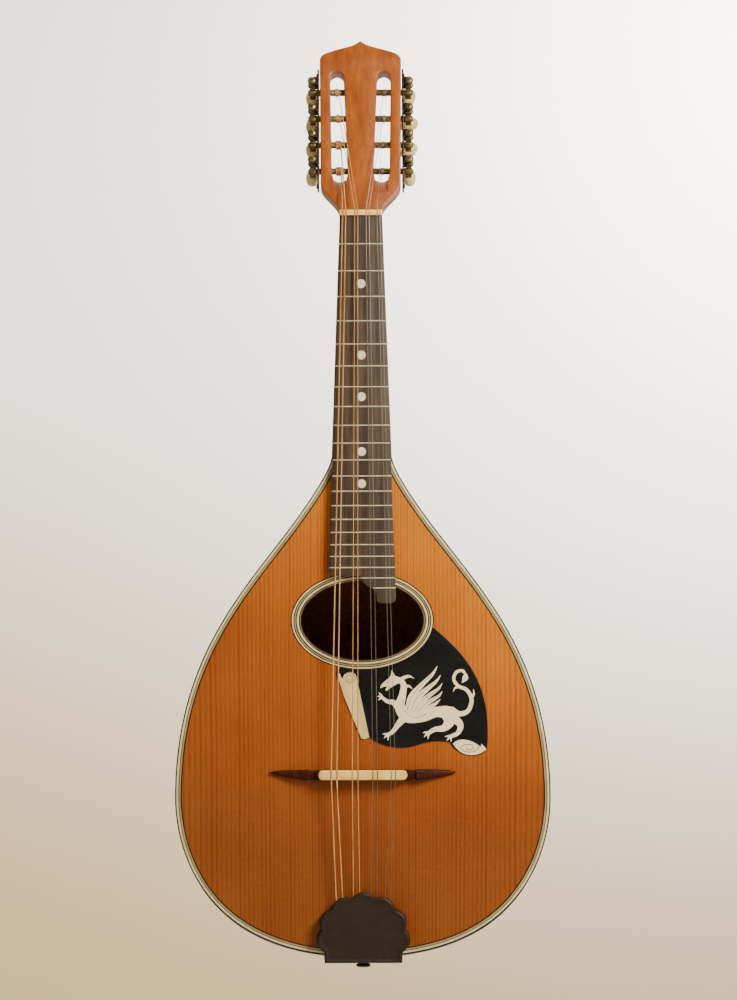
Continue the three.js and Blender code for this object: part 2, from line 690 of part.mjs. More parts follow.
// From its hook over the saddle and the nut to its post, which it winds round.
function stringPath(string) {
  const { radius, tuner } = string;
  const hook = new THREE.Vector3(string.hook, -3.6, TAIL.hookZ).applyMatrix4(tailMatrix);
  const saddle = [-3.4, 3.4].map((dz) =>
    new THREE.Vector3(string.saddle, SADDLE_STRING_Y + (dz < 0 ? 0.25 : 0), BRIDGE.z + dz));
  const nutPoints = [-0.5, NUT.length + 0.5].map((z) => new THREE.Vector3(string.nut, NUT_STRING_Y, z));
  const coil = [];
  const wrap = POST.radius + GAP + radius;
  const perTurn = 8;
  const steps = Math.round(COIL_TURNS * perTurn);
  for (let i = 0; i <= steps; i++) {
    const turn = i / perTurn;
    const angle = 2 * Math.PI * turn;
    const x = string.post + Math.sign(string.post) * turn * (2 * radius + 0.15);
    const y = TUNER.depth - wrap * Math.cos(angle);
    const z = TUNER.first + tuner * TUNER.pitch + wrap * Math.sin(angle);
    coil.push(new THREE.Vector3(x, y, z).applyMatrix4(headMatrix));
  }
  return [hook, ...saddle, ...nutPoints, ...coil];
}

function strings() {
  return STRINGS.map((string) => {
    const points = stringPath(string);
    const section = new THREE.Shape();
    section.absarc(0, 0, string.radius, 0, 2 * Math.PI);
    const geometry = new THREE.ExtrudeGeometry(section, {
      steps: points.length - 1, extrudePath: new PointPath(points), curveSegments: 3,
    });
    const wound = string.radius > 0.25;
    return named(`string_${string.name}`, geometry, wound ? paint(0xb06a35, 0.4, 0.9) : paint(0xb9b4aa, 0.3, 0.9));
  });
}

const mandolin = new THREE.Group();
mandolin.add(...bowlRibs(), tailClasp(), ...blocks(), ...linings(), ...braces());
mandolin.add(soundboard(), binding(), rosette(), pickguard());
mandolin.add(neck(), fingerboard(), nut(), bridgeBase(), bridgeSaddle());
mandolin.add(tailpieceBase(), tailpieceCover(), strapButton());
mandolin.add(tuners(), ...strings());
export default mandolin;
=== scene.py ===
"""A bowl-back mandolin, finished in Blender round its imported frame.

Sizes are in millimetres, in the part's own frame (+Z up the neck, the top faces -Y), and become
metres when a mesh is made. Each section below makes one group of sub-parts.
"""

import bisect
from math import copysign, cos, exp, hypot, pi, radians, sin, sqrt, tan

import bmesh
import bpy
from mathutils import Matrix, Vector
from mathutils.geometry import delaunay_2d_cdt


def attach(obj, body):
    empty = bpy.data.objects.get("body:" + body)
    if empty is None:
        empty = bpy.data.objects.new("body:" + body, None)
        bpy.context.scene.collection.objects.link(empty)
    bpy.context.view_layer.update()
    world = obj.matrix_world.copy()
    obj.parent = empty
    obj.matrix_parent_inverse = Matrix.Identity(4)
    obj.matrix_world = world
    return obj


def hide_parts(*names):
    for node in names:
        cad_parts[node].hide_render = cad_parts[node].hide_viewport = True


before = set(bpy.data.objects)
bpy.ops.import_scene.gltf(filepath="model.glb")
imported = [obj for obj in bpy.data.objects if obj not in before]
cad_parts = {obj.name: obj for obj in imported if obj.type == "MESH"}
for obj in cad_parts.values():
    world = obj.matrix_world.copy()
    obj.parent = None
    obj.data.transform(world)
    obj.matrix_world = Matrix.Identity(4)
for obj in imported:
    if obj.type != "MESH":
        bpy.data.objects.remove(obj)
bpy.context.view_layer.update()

# ---- driving sizes ----
MM = 0.001
SCALE = 352.4  # nut edge to saddle
JOINT_Z, JOINT_HALF = -152.4, 19  # neck meets body
WIDEST_Z, WIDEST_HALF = -368, 118.6
TAIL_Z = -468.6
CANT_Z, CANT = -357.5, 6  # the top bends back, by so many degrees, below the bridge
CANT_SOFT = 4  # half the length of that bend
TOP_THICK = 2.2
RIM_Y = TOP_THICK + 0.3  # front edge of the bowl
BOWL_RATIO = 1.05
BOWL_WALL = 2.5
BINDING_WIDTH = 4.4
HOLE_Z = -255.6
ROSETTE_HALF = (45.1, 31.0)
RIBS = 25
NUT_HALF, NUT_LENGTH, NUT_HEIGHT = 13.45, 3.5, 7.5
BOARD_THICK = 5
BOARD_END_Z, BOARD_END_HALF, BOARD_LEFT_END, BOARD_TAB_END = -236, 21.2, -227.3, -244.8
FRETS = 21
FRET_STEP = 0.949  # each fret leaves this share of the string
DOT_SPACES = (3, 6, 8, 11, 13)
HEAD_THICK, HEAD_HALF, HEAD_SIDE_Z = 15, 25.8, 99.6
HEAD_SHARP = 30  # edges of the head bent further than this stay sharp
SLOT_LOW_Z, SLOT_HIGH_Z = 19.5, 92.2
BRIDGE_Z = -SCALE - 0.5
NUT_STRING_Y, SADDLE_STRING_Y = -6.7, -9.8
TUNER_FIRST, TUNER_PITCH, TUNER_DEPTH = 27.2, 17.4, 5.5
PLATE_X = (26.2, 27.4)  # a tuner plate's inner and outer faces
POST_RADIUS = 2.1
WORM_X, WORM_ABOVE = 30.7, 6.6
COVER_MIDDLE_Z, COVER_HALF, COVER_END_Z = -97.9, 24.7, -114.2
FLANGE_Z = -470.9  # the flange's outer face, which the end pin holds
PIN_Y = 29


def shift(x, y, z):
    """A move in millimetres."""
    return Matrix.Translation((x, y, z))


def rotation(degrees, axis="Z"):
    """A turn about an axis."""
    return Matrix.Rotation(radians(degrees), 4, axis)


HEAD = shift(0, 0, NUT_LENGTH) @ rotation(-15, "X")
TAIL = shift(0, 0, CANT_Z) @ rotation(CANT, "X")
FACE = rotation(90, "X")  # an outline (x, z), extruded towards the front
SIDEWAYS = Matrix(((0, 0, 1, 0), (1, 0, 0, 0), (0, 1, 0, 0), (0, 0, 0, 1)))  # (y, z) along x
BACKWARD = rotation(-90, "X")  # a turned piece whose axis runs back


# ---- shapes ----
def steps(count, start=0.0, end=1.0):
    """Evenly spaced numbers from start to end, both included."""
    return [start + (end - start) * i / count for i in range(count + 1)]


def both_sides(right):
    """A whole outline from its right side, whose last point is on the centre line."""
    return right + [Vector((-p.x, p.y)) for p in reversed(right[:-1])]


def bezier(controls, count):
    """Points of a Bezier curve of any degree, without its first one."""
    made = []
    for step in range(1, count + 1):
        level = [Vector(p) for p in controls]
        while len(level) > 1:
            level = [a.lerp(b, step / count) for a, b in zip(level, level[1:])]
        made.append(level[0])
    return made


def trace(outline, *legs):
    """Carries an outline on with Bezier curves, given by their other controls and their steps."""
    for controls, count in legs:
        outline += bezier([outline[-1], *controls], count)
    return outline


def smooth(points, count):
    """A Catmull-Rom curve through points of any dimension."""
    points = [Vector(p) for p in points]
    padded = [2 * points[0] - points[1], *points, 2 * points[-1] - points[-2]]
    made = [points[0]]
    for a, b, c, d in zip(padded, padded[1:], padded[2:], padded[3:]):
        for step in range(1, count + 1):
            t = step / count
            bent = (2 * a - 5 * b + 4 * c - d) * t * t + (3 * b - 3 * c + d - a) * t**3
            made.append((2 * b + (c - a) * t + bent) / 2)
    return made


def arc(centre, radii, start, end, count):
    """Points of an elliptical arc, from start to end in radians."""
    return [Vector((centre[0] + radii[0] * cos(a), centre[1] + radii[1] * sin(a)))
            for a in steps(count, start, end)]


def ring(centre, radii, count):
    """A closed ellipse of so many points."""
    return arc(centre, radii, 0, 2 * pi, count)[:-1]


def inside(point, outline):
    """Whether a point lies inside a closed outline."""
    x, y = point
    found = False
    for (ax, ay), (bx, by) in zip(outline, [*outline[1:], outline[0]]):
        if (ay > y) != (by > y) and x < ax + (bx - ax) * (y - ay) / (by - ay):
            found = not found
    return found


def filled(outlines, holes=(), more=()):
    """Points and triangles that cover the outlines together, without the holes."""
    points = [Vector(p) for p in more]
    edges = []
    for outline in [*outlines, *holes]:
        first = len(points)
        points += [Vector(p) for p in outline]
        edges += [(first + i, first + (i + 1) % len(outline)) for i in range(len(outline))]
    corners, _, triangles, *_ = delaunay_2d_cdt(points, edges, [], 0, 1e-4)

    def covered(triangle):
        middle = sum((corners[i] for i in triangle), Vector((0, 0))) / 3
        within = any(inside(middle, outline) for outline in outlines)
        return within and not any(inside(middle, hole) for hole in holes)

    return corners, [t for t in triangles if covered(t)]


class Shape:
    """Points in millimetres, faces with material numbers, and a grain coordinate at each point."""

    def __init__(self):
        self.points = []
        self.faces = []
        self.kinds = []
        self.grain = []

    def add(self, points, faces, kind=0, place=Matrix(), grain=None):
        first = len(self.points)
        self.points += [place @ Vector(p) for p in points]
        self.grain += grain or [Vector((0, 0, 0))] * len(points)
        self.faces += [[first + i for i in face] for face in faces]
        self.kinds += kind if isinstance(kind, list) else [kind] * len(faces)
        return self

    def grid(self, rows, kind=0, closed=False, ends=False, place=Matrix(), grain=None):
        """Quads between rows of points. Closed rows are rings, and ends are filled."""
        count = len(rows[0])
        faces = []
        kinds = []
        for row in range(len(rows) - 1):
            for i in range(count if closed else count - 1):
                a = row * count + i
                b = row * count + (i + 1) % count
                faces.append([a, b, b + count, a + count])
                kinds.append(kind[i] if isinstance(kind, list) else kind)
        if ends:
            last = (len(rows) - 1) * count
            faces += [list(range(count)), list(range(last, last + count))]
            kinds += [kinds[0], kinds[0]]
        flat_grain = [g for row in grain for g in row] if grain else None
        return self.add([p for row in rows for p in row], faces, kinds, place, flat_grain)

    def solid(self, rings, kind=0, place=Matrix(), grain=None):
        """Quads between closed rings of points, with the first and last ring filled."""
        return self.grid(rings, kind, True, True, place, grain)

    def prism(self, xs, section, kind=0, place=Matrix()):
        """A section of (y, z) points carried along X."""
        return self.solid([[(x, y, z) for y, z in section] for x in xs], kind, place)

    def turned(self, profile, segments=32, kind=0, place=Matrix()):
        """A profile of (radius, height) turned round the local Z axis."""
        turns = [2 * pi * i / segments for i in range(segments)]
        return self.solid([[(r * cos(a), r * sin(a), h) for a in turns] for r, h in profile], kind, place)

    def slab(self, loops, low, high, bevel, kind=0, place=FACE):
        """A flat piece with rounded edges, extruded along local Z. The first loop is its outline."""
        curve = bpy.data.curves.new("outline", "CURVE")
        curve.dimensions = "2D"
        curve.fill_mode = "BOTH"
        curve.extrude = (high - low) / 2 - bevel
        curve.bevel_depth = bevel
        curve.bevel_resolution = 2
        curve.offset = -bevel
        for loop in loops:
            spline = curve.splines.new("POLY")
            spline.points.add(len(loop) - 1)
            for point, (a, b) in zip(spline.points, loop):
                point.co = (a, b, 0, 1)
            spline.use_cyclic_u = True
        holder = bpy.data.objects.new("outline", curve)
        mesh = bpy.data.meshes.new_from_object(holder)
        lifted = place @ Matrix.Translation((0, 0, (low + high) / 2))
        self.add([v.co for v in mesh.vertices], [list(p.vertices) for p in mesh.polygons], kind, lifted)
        bpy.data.objects.remove(holder)
        bpy.data.curves.remove(curve)
        bpy.data.meshes.remove(mesh)
        return self

    def sheet(self, corners, triangles, front, back, kind=0):
        """Flat triangles (x, z) made solid between two depths, which may depend on the point."""
        count = len(corners)
        points = [Vector((x, front(x, z), z)) for x, z in corners]
        points += [Vector((x, back(x, z), z)) for x, z in corners]
        edges = {}
        for triangle in triangles:
            for a, b in zip(triangle, [*triangle[1:], triangle[0]]):
                edges[tuple(sorted((a, b)))] = edges.get(tuple(sorted((a, b))), 0) + 1
        walls = [[a, b, b + count, a + count] for (a, b), used in edges.items() if used == 1]
        behind = [[i + count for i in reversed(t)] for t in triangles]
        return self.add(points, [*map(list, triangles), *behind, *walls], kind)

    def tube(self, path, radius, segments=8, kind=0, place=Matrix()):
        """A round bar along a path. Its grain counts the length along it."""
        path = [Vector(p) for p in path]
        side = Vector((1, 0, 0)).cross(path[1] - path[0])
        if side.length < 1e-6:
            side = Vector((0, 1, 0))
        length = 0
        rows = []
        grain = []
        for i, point in enumerate(path):
            along = (path[min(i + 1, len(path) - 1)] - path[max(i - 1, 0)]).normalized()
            side = (side - along * side.dot(along)).normalized()
            up = along.cross(side)
            length += (point - path[max(i - 1, 0)]).length
            angles = [2 * pi * k / segments for k in range(segments)]
            rows.append([point + radius * (side * cos(a) + up * sin(a)) for a in angles])
            grain.append([Vector((0, 0, length))] * segments)
        return self.solid(rows, kind, place, grain)


def build(name, shape, surfaces, body="body", nodes=(), sharp=32):
    """Makes the object: merges its seams, turns its faces out, shades it and lets it ride."""
    mesh = bpy.data.meshes.new(name)
    mesh.from_pydata([p * MM for p in shape.points], [], shape.faces)
    for surface in surfaces:
        mesh.materials.append(surface.material)
    mesh.polygons.foreach_set("material_index", shape.kinds)
    grain = mesh.attributes.new("grain", "FLOAT_VECTOR", "POINT")
    grain.data.foreach_set("vector", [c for g in shape.grain for c in g])
    work = bmesh.new()
    work.from_mesh(mesh)
    bmesh.ops.remove_doubles(work, verts=work.verts, dist=2e-6)
    bmesh.ops.recalc_face_normals(work, faces=work.faces)
    work.to_mesh(mesh)
    work.free()
    mesh.shade_smooth()
    mesh.set_sharp_from_angle(angle=radians(sharp))
    piece = bpy.data.objects.new(name, mesh)
    bpy.context.collection.objects.link(piece)
    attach(piece, body)
    if nodes:
        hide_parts(*nodes)
    return piece


def stand_in(name, shape, surfaces, sharp=32, body="body", node=None):
    """Makes the finished piece that replaces a CAD node, by default the node of the same name."""
    return build(name + "_finished", shape, surfaces, body, [node or name], sharp)


# ---- materials ----
def rgb(code):
    """A colour for a shader from its screen code."""
    parts = [(code >> shift & 255) / 255 for shift in (16, 8, 0)]
    return (*[c / 12.92 if c < 0.04045 else ((c + 0.055) / 1.055) ** 2.4 for c in parts], 1)


class Surface:
    """A node material whose patterns are laid out in millimetres."""

    def __init__(self, name, **settings):
        self.material = bpy.data.materials.new(name)
        self.material.use_nodes = True
        self.tree = self.material.node_tree
        self.shader = self.tree.nodes["Principled BSDF"]
        for key, value in settings.items():
            self.shader.inputs[key.replace("_", " ")].default_value = value

    def add(self, kind, inputs=(), **settings):
        node = self.tree.nodes.new("ShaderNode" + kind)
        for key, value in settings.items():
            setattr(node, key, value)
        for key, value in dict(inputs).items():
            if isinstance(value, bpy.types.NodeSocket):
                self.tree.links.new(value, node.inputs[key])
            else:
                node.inputs[key].default_value = value
        return node

    def place(self, stretch=(1, 1, 1), grain=False):
        """Coordinates in millimetres, stretched: the object's own, or along its grain."""
        if grain:
            source = self.add("Attribute", attribute_name="grain").outputs["Vector"]
            unit = 1
        else:
            source = self.add("TexCoord").outputs["Object"]
            unit = 1000
        sizes = tuple(unit * s for s in stretch)
        return self.add("VectorMath", {0: source, 1: sizes}, operation="MULTIPLY").outputs[0]

    def noise(self, stretch, detail=3.0, rough=0.5, grain=False):
        """Noise from 0 to 1, with so many features in a millimetre each way."""
        place = self.place(stretch, grain)
        inputs = {"Vector": place, "Scale": 1.0, "Detail": detail, "Roughness": rough}
        return self.add("TexNoise", inputs).outputs[0]

    def maths(self, operation, a, b=0.0):
        return self.add("Math", {0: a, 1: b}, operation=operation).outputs[0]

    def ramp(self, value, stops):
        node = self.add("ValToRGB", {0: value})
        elements = node.color_ramp.elements
        while len(elements) < len(stops):
            elements.new(0.5)
        for element, (position, colour) in zip(elements, stops):
            element.position = position
            element.color = rgb(colour) if isinstance(colour, int) else (colour, colour, colour, 1)
        return node.outputs[0]

    def mix(self, share, a, b, blend="MIX"):
        node = self.add("Mix", data_type="RGBA", blend_type=blend)
        for index, value in ((0, share), (6, a), (7, b)):
            if isinstance(value, bpy.types.NodeSocket):
                self.tree.links.new(value, node.inputs[index])
            else:
                node.inputs[index].default_value = value
        return node.outputs[2]

    def shade(self, colour, value, stops, share=1.0):
        """Multiplies a colour by a ramp of the value."""
        return self.mix(share, colour, self.ramp(value, stops), "MULTIPLY")

    def use(self, colour=None, rough=None, height=None, depth=0.05, strength=0.6, metal=None):
        """Joins the patterns to the shader. Depth is the bump's height in millimetres."""
        inputs = self.shader.inputs
        for key, value in (("Base Color", colour), ("Roughness", rough), ("Metallic", metal)):
            if value is not None:
                self.tree.links.new(value, inputs[key])
        if height is not None:
            bump = self.add("Bump", {"Height": height, "Strength": strength, "Distance": depth * MM})
            self.tree.links.new(bump.outputs[0], inputs["Normal"])
        return self


def spruce():
    """Quarter-sawn halves: rings close together at the centre joint and wider at the edges.

    Partly painted light, partly the wood's own tone: it is darker and redder at the tail end and brighter
    and more yellow near the neck, mostly on the right, as a lamp at the upper right would light it.
    """
    drift, widening, rings = 5, 0.012, 56  # mm a ring wanders, its growth with each mm, their number
    low_z, light_rise, light_lean = -405, 0.0026, 0.000016  # where it starts, its growth upwards and rightwards
    s = Surface("spruce", Coat_Weight=0.1, Coat_Roughness=0.25, Specular_IOR_Level=0.22)
    x, _, z = s.add("SeparateXYZ", {0: s.place()}).outputs
    wander = s.maths("MULTIPLY", s.noise((0.02, 0.02, 0.004), 2), drift)
    across = s.maths("ADD", s.maths("ABSOLUTE", x), wander)
    grown = s.maths("LOGARITHM", s.maths("ADD", s.maths("MULTIPLY", across, widening), 1), exp(1))
    ring_count = s.maths("MULTIPLY", grown, rings)
    late = s.ramp(s.maths("FRACT", ring_count), [(0, 0.1), (0.35, 0.0), (0.75, 0.55), (0.9, 1.0), (1, 0.1)])
    own = s.add("TexWhiteNoise", {"W": s.maths("FLOOR", ring_count)}, noise_dimensions="1D").outputs[0]
    depth = s.maths("MULTIPLY", late, s.maths("ADD", s.maths("MULTIPLY", own, 0.6), 0.4))
    fibre = s.noise((4, 4, 0.1), 4, rough=0.65)
    silk = s.noise((0.25, 0.25, 1.1))
    age = s.noise((0.012, 0.012, 0.009))
    early = s.ramp(age, [(0.3, 0xBA6618), (0.5, 0xC8721E), (0.72, 0xD48026)])
    late_tone = s.mix(1.0, early, rgb(0xC4A08C), "MULTIPLY")
    wood = s.mix(depth, early, late_tone)
    height = s.maths("ADD", z, -low_z)
    light_to_right = s.maths("MULTIPLY", s.maths("MULTIPLY", x, height), light_lean)
    painted_light_and_tone = s.maths("ADD", s.maths("MULTIPLY", height, light_rise), light_to_right)
    # Painted light and shade, partly the wood's own tone: brighter and yellower up and to the right, darker
    # and redder at the tail end.
    wood = s.shade(wood, painted_light_and_tone, [(0.01, 0xB4A6B8), (0.18, 0xC8B3B4), (0.4, 0xE2D2A0), (0.63, 0xFFFF80)])
    wood = s.shade(wood, fibre, [(0.3, 0.84), (0.62, 1.06)])
    wood = s.shade(wood, silk, [(0.3, 0.93), (0.7, 1.05)])
    rough = s.ramp(fibre, [(0.3, 0.42), (0.7, 0.34)])
    return s.use(wood, rough, s.maths("ADD", depth, fibre), depth=0.03, strength=0.35)


def mahogany():
    """Reddish wood with a broad ribbon figure and open pores."""
    s = Surface("mahogany", Coat_Weight=0.3, Coat_Roughness=0.2, Specular_IOR_Level=0.35)
    figure = s.noise((0.16, 0.16, 0.012), 4, rough=0.6)
    ribbon = s.noise((0.5, 0.5, 0.02))
    pores = s.noise((5, 5, 0.22), 2, rough=0.6)
    wood = s.ramp(figure, [(0.28, 0x7E380A), (0.5, 0x944A10), (0.72, 0xA65816)])
    wood = s.shade(wood, ribbon, [(0.3, 0.86), (0.7, 1.06)])
    pits = s.ramp(pores, [(0.33, 0.6), (0.43, 1.0)])
    wood = s.mix(1.0, wood, pits, "MULTIPLY")
    rough = s.ramp(pores, [(0.35, 0.5), (0.5, 0.34)])
    return s.use(wood, rough, pits, depth=0.04, strength=0.4)


def dark_wood(name, tones, grain=False, coat=0.0, rough=(0.55, 0.38), fleck=0.55, shine=0.5):
    """Rosewood and its like: streaks of three tones, dark pores."""
    s = Surface(name, Coat_Weight=coat, Coat_Roughness=0.14, Specular_IOR_Level=shine)
    figure = s.noise((0.3, 0.3, 0.014), 5, rough=0.62, grain=grain)
    streak = s.noise((1.4, 1.4, 0.03), grain=grain)
    pores = s.noise((6, 6, 0.3), 2, grain=grain)
    wood = s.ramp(figure, [(0.3, tones[0]), (0.5, tones[1]), (0.7, tones[2])])
    wood = s.shade(wood, streak, [(0.35, 0.62), (0.65, 1.15)])
    pits = s.ramp(pores, [(0.34, fleck), (0.44, 1.0)])
    wood = s.mix(1.0, wood, pits, "MULTIPLY")
    gloss = s.ramp(pores, [(0.35, rough[0]), (0.5, rough[1])])
    return s.use(wood, gloss, pits, depth=0.05, strength=0.4)


def pale_wood(name, tones):
    """Wood left without a finish, as inside the body."""
    s = Surface(name)
    figure = s.noise((0.8, 0.8, 0.05), 4)
    wood = s.ramp(figure, [(0.3, tones[0]), (0.7, tones[1])])
    return s.use(wood, s.ramp(figure, [(0.3, 0.8), (0.7, 0.65)]), figure, depth=0.06)


def cream(name, tones, rough=0.35, coat=0.2, lines=0.5):
    """Bone, ivoroid and their like: fine even grain, yellowed in patches."""
    s = Surface(name, Coat_Weight=coat, Coat_Roughness=0.2)
    patch = s.noise((0.09, 0.09, 0.07), 4)
    grain = s.noise((2.4, 2.4, 0.25))
    stain = s.noise((0.7, 0.7, 0.7), 5, rough=0.7)
    base = s.ramp(patch, [(0.32, tones[0]), (0.66, tones[1])])
    base = s.shade(base, grain, [(0.3, 0.82), (0.7, 1.0)], lines)
    base = s.shade(base, stain, [(0.3, 0.8), (0.42, 1.0)])
    gloss = s.ramp(stain, [(0.3, rough + 0.2), (0.6, rough)])
    return s.use(base, gloss, stain, depth=0.03, strength=0.3)


def celluloid(name, tone, rough=0.16, scratch=0.35):
    """Polished dark plastic with fine wear."""
    s = Surface(name, Coat_Weight=0.05, Coat_Roughness=0.1, Specular_IOR_Level=0.25)
    haze = s.noise((0.06, 0.06, 0.06), 4)
    worn = s.noise((0.4, 0.4, 7), rough=0.7)
    base = s.mix(s.ramp(haze, [(0.4, 0.0), (0.8, 0.5)]), rgb(tone), rgb(0x1C1A16))
    gloss = s.ramp(worn, [(0.4, rough), (0.75, rough + scratch)])
    return s.use(base, gloss, worn, depth=0.01, strength=0.25)


def aged_metal(name, tones, rough=(0.28, 0.55), metal=(0.95, 0.6), scale=1.0):
    """Brass or plated steel that has darkened in patches, brighter where it's rubbed."""
    s = Surface(name)
    patch = s.noise((0.35 * scale,) * 3, 5, rough=0.65)
    speck = s.noise((2.6 * scale,) * 3, rough=0.7)
    base = s.ramp(patch, [(0.32, tones[0]), (0.52, tones[1]), (0.68, tones[2])])
    base = s.shade(base, speck, [(0.3, 0.55), (0.5, 1.0)])
    gloss = s.ramp(patch, [(0.3, rough[1]), (0.7, rough[0])])
    shine = s.ramp(patch, [(0.3, metal[1]), (0.6, metal[0])])
    return s.use(base, gloss, speck, depth=0.03, strength=0.35, metal=shine)


def wire(name, tones, pitch, ridge_depth, metal):
    """String wire. A wound string has a ridge for each turn of its wrapping."""
    s = Surface(name)
    tarnish = s.noise((0.5, 0.5, 0.02), 4)
    base = s.ramp(tarnish, [(0.3, tones[0]), (0.7, tones[1])])
    along = s.add("SeparateXYZ", {0: s.place(grain=True)}).outputs[2]
    ridge = s.maths("SINE", s.maths("MULTIPLY", along, 2 * pi / pitch))
    s.shader.inputs["Metallic"].default_value = metal
    return s.use(base, s.ramp(tarnish, [(0.3, 0.42), (0.7, 0.26)]), ridge, depth=ridge_depth, strength=0.5)


def pearl():
    """Mother-of-pearl, with soft bands of two tones."""
    s = Surface("pearl", Coat_Weight=0.6, Coat_Roughness=0.08)
    sheet = s.noise((0.5, 0.5, 0.35), 4, rough=0.6)
    base = s.ramp(sheet, [(0.3, 0xD0C290), (0.5, 0xEEDFB4), (0.7, 0xDCD4A2)])
    return s.use(base, s.ramp(sheet, [(0.3, 0.3), (0.7, 0.18)]), sheet, depth=0.02, strength=0.3)


SPRUCE = spruce()
MAHOGANY = mahogany()
RIB_WOOD = dark_wood("rib_rosewood", (0x2A130D, 0x4A2217, 0x683423), grain=True, coat=0.6)
CLASP_WOOD = dark_wood("clasp_rosewood", (0x25110C, 0x3E1D14, 0x562A1D), coat=0.5)
BRIDGE_WOOD = dark_wood("bridge_rosewood", (0x240D04, 0x3C1606, 0x522009), rough=(0.6, 0.5), shine=0.12)
BOARD_WOOD = dark_wood("board_wood", (0x32271C, 0x493A2A, 0x5D4C39), rough=(0.6, 0.45), fleck=0.7,
                       shine=0.3)
INNER_WOOD = pale_wood("inner_wood", (0xA98556, 0xCBAA78))
RAW_WOOD = pale_wood("raw_rosewood", (0x80492A, 0xA86A44))
SPACER = cream("spacer_wood", (0xA8845A, 0xC7A272), rough=0.3)
BONE = cream("bone", (0xE0A240, 0xF8CD6E), lines=0.3)
IVOROID = cream("ivoroid", (0xCDB880, 0xE2D2A0))
OLIVE = cream("tan_strip", (0x8E7A48, 0xA8925C))
GOLD_LINE = cream("gold_line", (0x6E5526, 0x8A6D36))
INLAY = cream("inlay_cream", (0xEED8A0, 0xFAEABA), rough=0.3)
OLD_INLAY = cream("inlay_yellowed", (0xE2B968, 0xF2D38A), rough=0.3)
BUTTON_IVORY = cream("button_ivory", (0xC79C4E, 0xE3C683), rough=0.22, coat=0.5, lines=0.3)
# Dark strips of the binding and rosette; the same material paints the shade in the slots of screws and
# caps.
DARK_STRIP_AND_SLOT_SHADE = celluloid("dark_strip_and_slot_shade", 0x1E1509)
BLACK = celluloid("black_celluloid", 0x0A0B09, rough=0.2, scratch=0.15)
ENGRAVED = celluloid("engraved_line", 0x3A3020, rough=0.5)
PEARL = pearl()
BRASS = aged_metal("aged_brass", (0x3E3220, 0x7C6A40, 0xB59C64))
DARK_BRASS = aged_metal("dark_brass", (0x1E1912, 0x3B3222, 0x655538), metal=(0.9, 0.5))
FRET_METAL = aged_metal("fret_metal", (0xCDBB90, 0xE6D6AE, 0xF8EECE), rough=(0.3, 0.45), metal=(0.5, 0.35))
SCREW_STEEL = aged_metal("screw_steel", (0x3B342B, 0x6B6150, 0x9A9078))
TAIL_METAL = aged_metal("tail_metal", (0x1F1206, 0x291709, 0x33200D), rough=(0.48, 0.62), metal=(0.35, 0.2),
                        scale=0.3)
BRONZE_WIRE = wire("bronze_wire", (0xB47A40, 0xD8A468), 0.24, 0.06, 0.6)
STEEL_WIRE = wire("steel_wire", (0x6E6558, 0xA09682), 7, 0.004, 0.8)


# ---- body ----
JOINT, WIDEST = Vector((JOINT_HALF, JOINT_Z)), Vector((WIDEST_HALF, WIDEST_Z))
SHOULDER = bezier([JOINT, (43.8, -214.9), (WIDEST_HALF, -251), WIDEST], 300)
HOLLOW = 62  # so many of its points are redrawn as a hollow curve into the neck
HOLLOW_END = SHOULDER[HOLLOW]
HOLLOW_PULL = HOLLOW_END - 12 * (HOLLOW_END - SHOULDER[HOLLOW - 1])
SIDE = trace([JOINT], ([(20.6, -162), HOLLOW_PULL, HOLLOW_END], 60))
SIDE += SHOULDER[HOLLOW + 1:]
trace(SIDE, ([(WIDEST_HALF, WIDEST_Z - 21.5), (110, TAIL_Z), (0, TAIL_Z)], 300))
SIDE_LENGTHS = [0]
for before, after in zip(SIDE, SIDE[1:]):
    SIDE_LENGTHS.append(SIDE_LENGTHS[-1] + (after - before).length)


def side_point(t, inset=0.0):
    """A point (x, z) of the body's right side, moved inwards; t is 0 at the neck and 1 at the tail."""
    place = t * SIDE_LENGTHS[-1]
    i = min(max(bisect.bisect(SIDE_LENGTHS, place), 1), len(SIDE) - 1)
    share = (place - SIDE_LENGTHS[i - 1]) / (SIDE_LENGTHS[i] - SIDE_LENGTHS[i - 1])
    along = (SIDE[min(i + 1, len(SIDE) - 1)] - SIDE[max(i - 2, 0)]).normalized()
    point = SIDE[i - 1].lerp(SIDE[i], share) + inset * Vector((along.y, -along.x))
    if t == 1:
        point.x = 0
    if t == 0:
        point.x += (JOINT_Z - point.y) * along.x / along.y
        point.y = JOINT_Z
    return point


def top_y(z):
    """How far back the top's face lies at a height: it bends over a short curve at CANT_Z."""
    below, slope = CANT_Z + CANT_SOFT - z, tan(radians(CANT))
    if below <= 0:
        return 0
    if below < 2 * CANT_SOFT:
        return slope * below**2 / (4 * CANT_SOFT)
    return slope * (below - CANT_SOFT)


def body_outline(inset, count=110):
    """The whole outline of the top, round from the neck's right corner."""
    return both_sides([side_point(t, inset) for t in steps(count)])


def bowl_point(half, z, angle):
    """A point of the bowl's half-oval section at a height, from the right rim round to the left."""
    return (half * cos(angle), RIM_Y + top_y(z) + BOWL_RATIO * half * sin(angle), z)


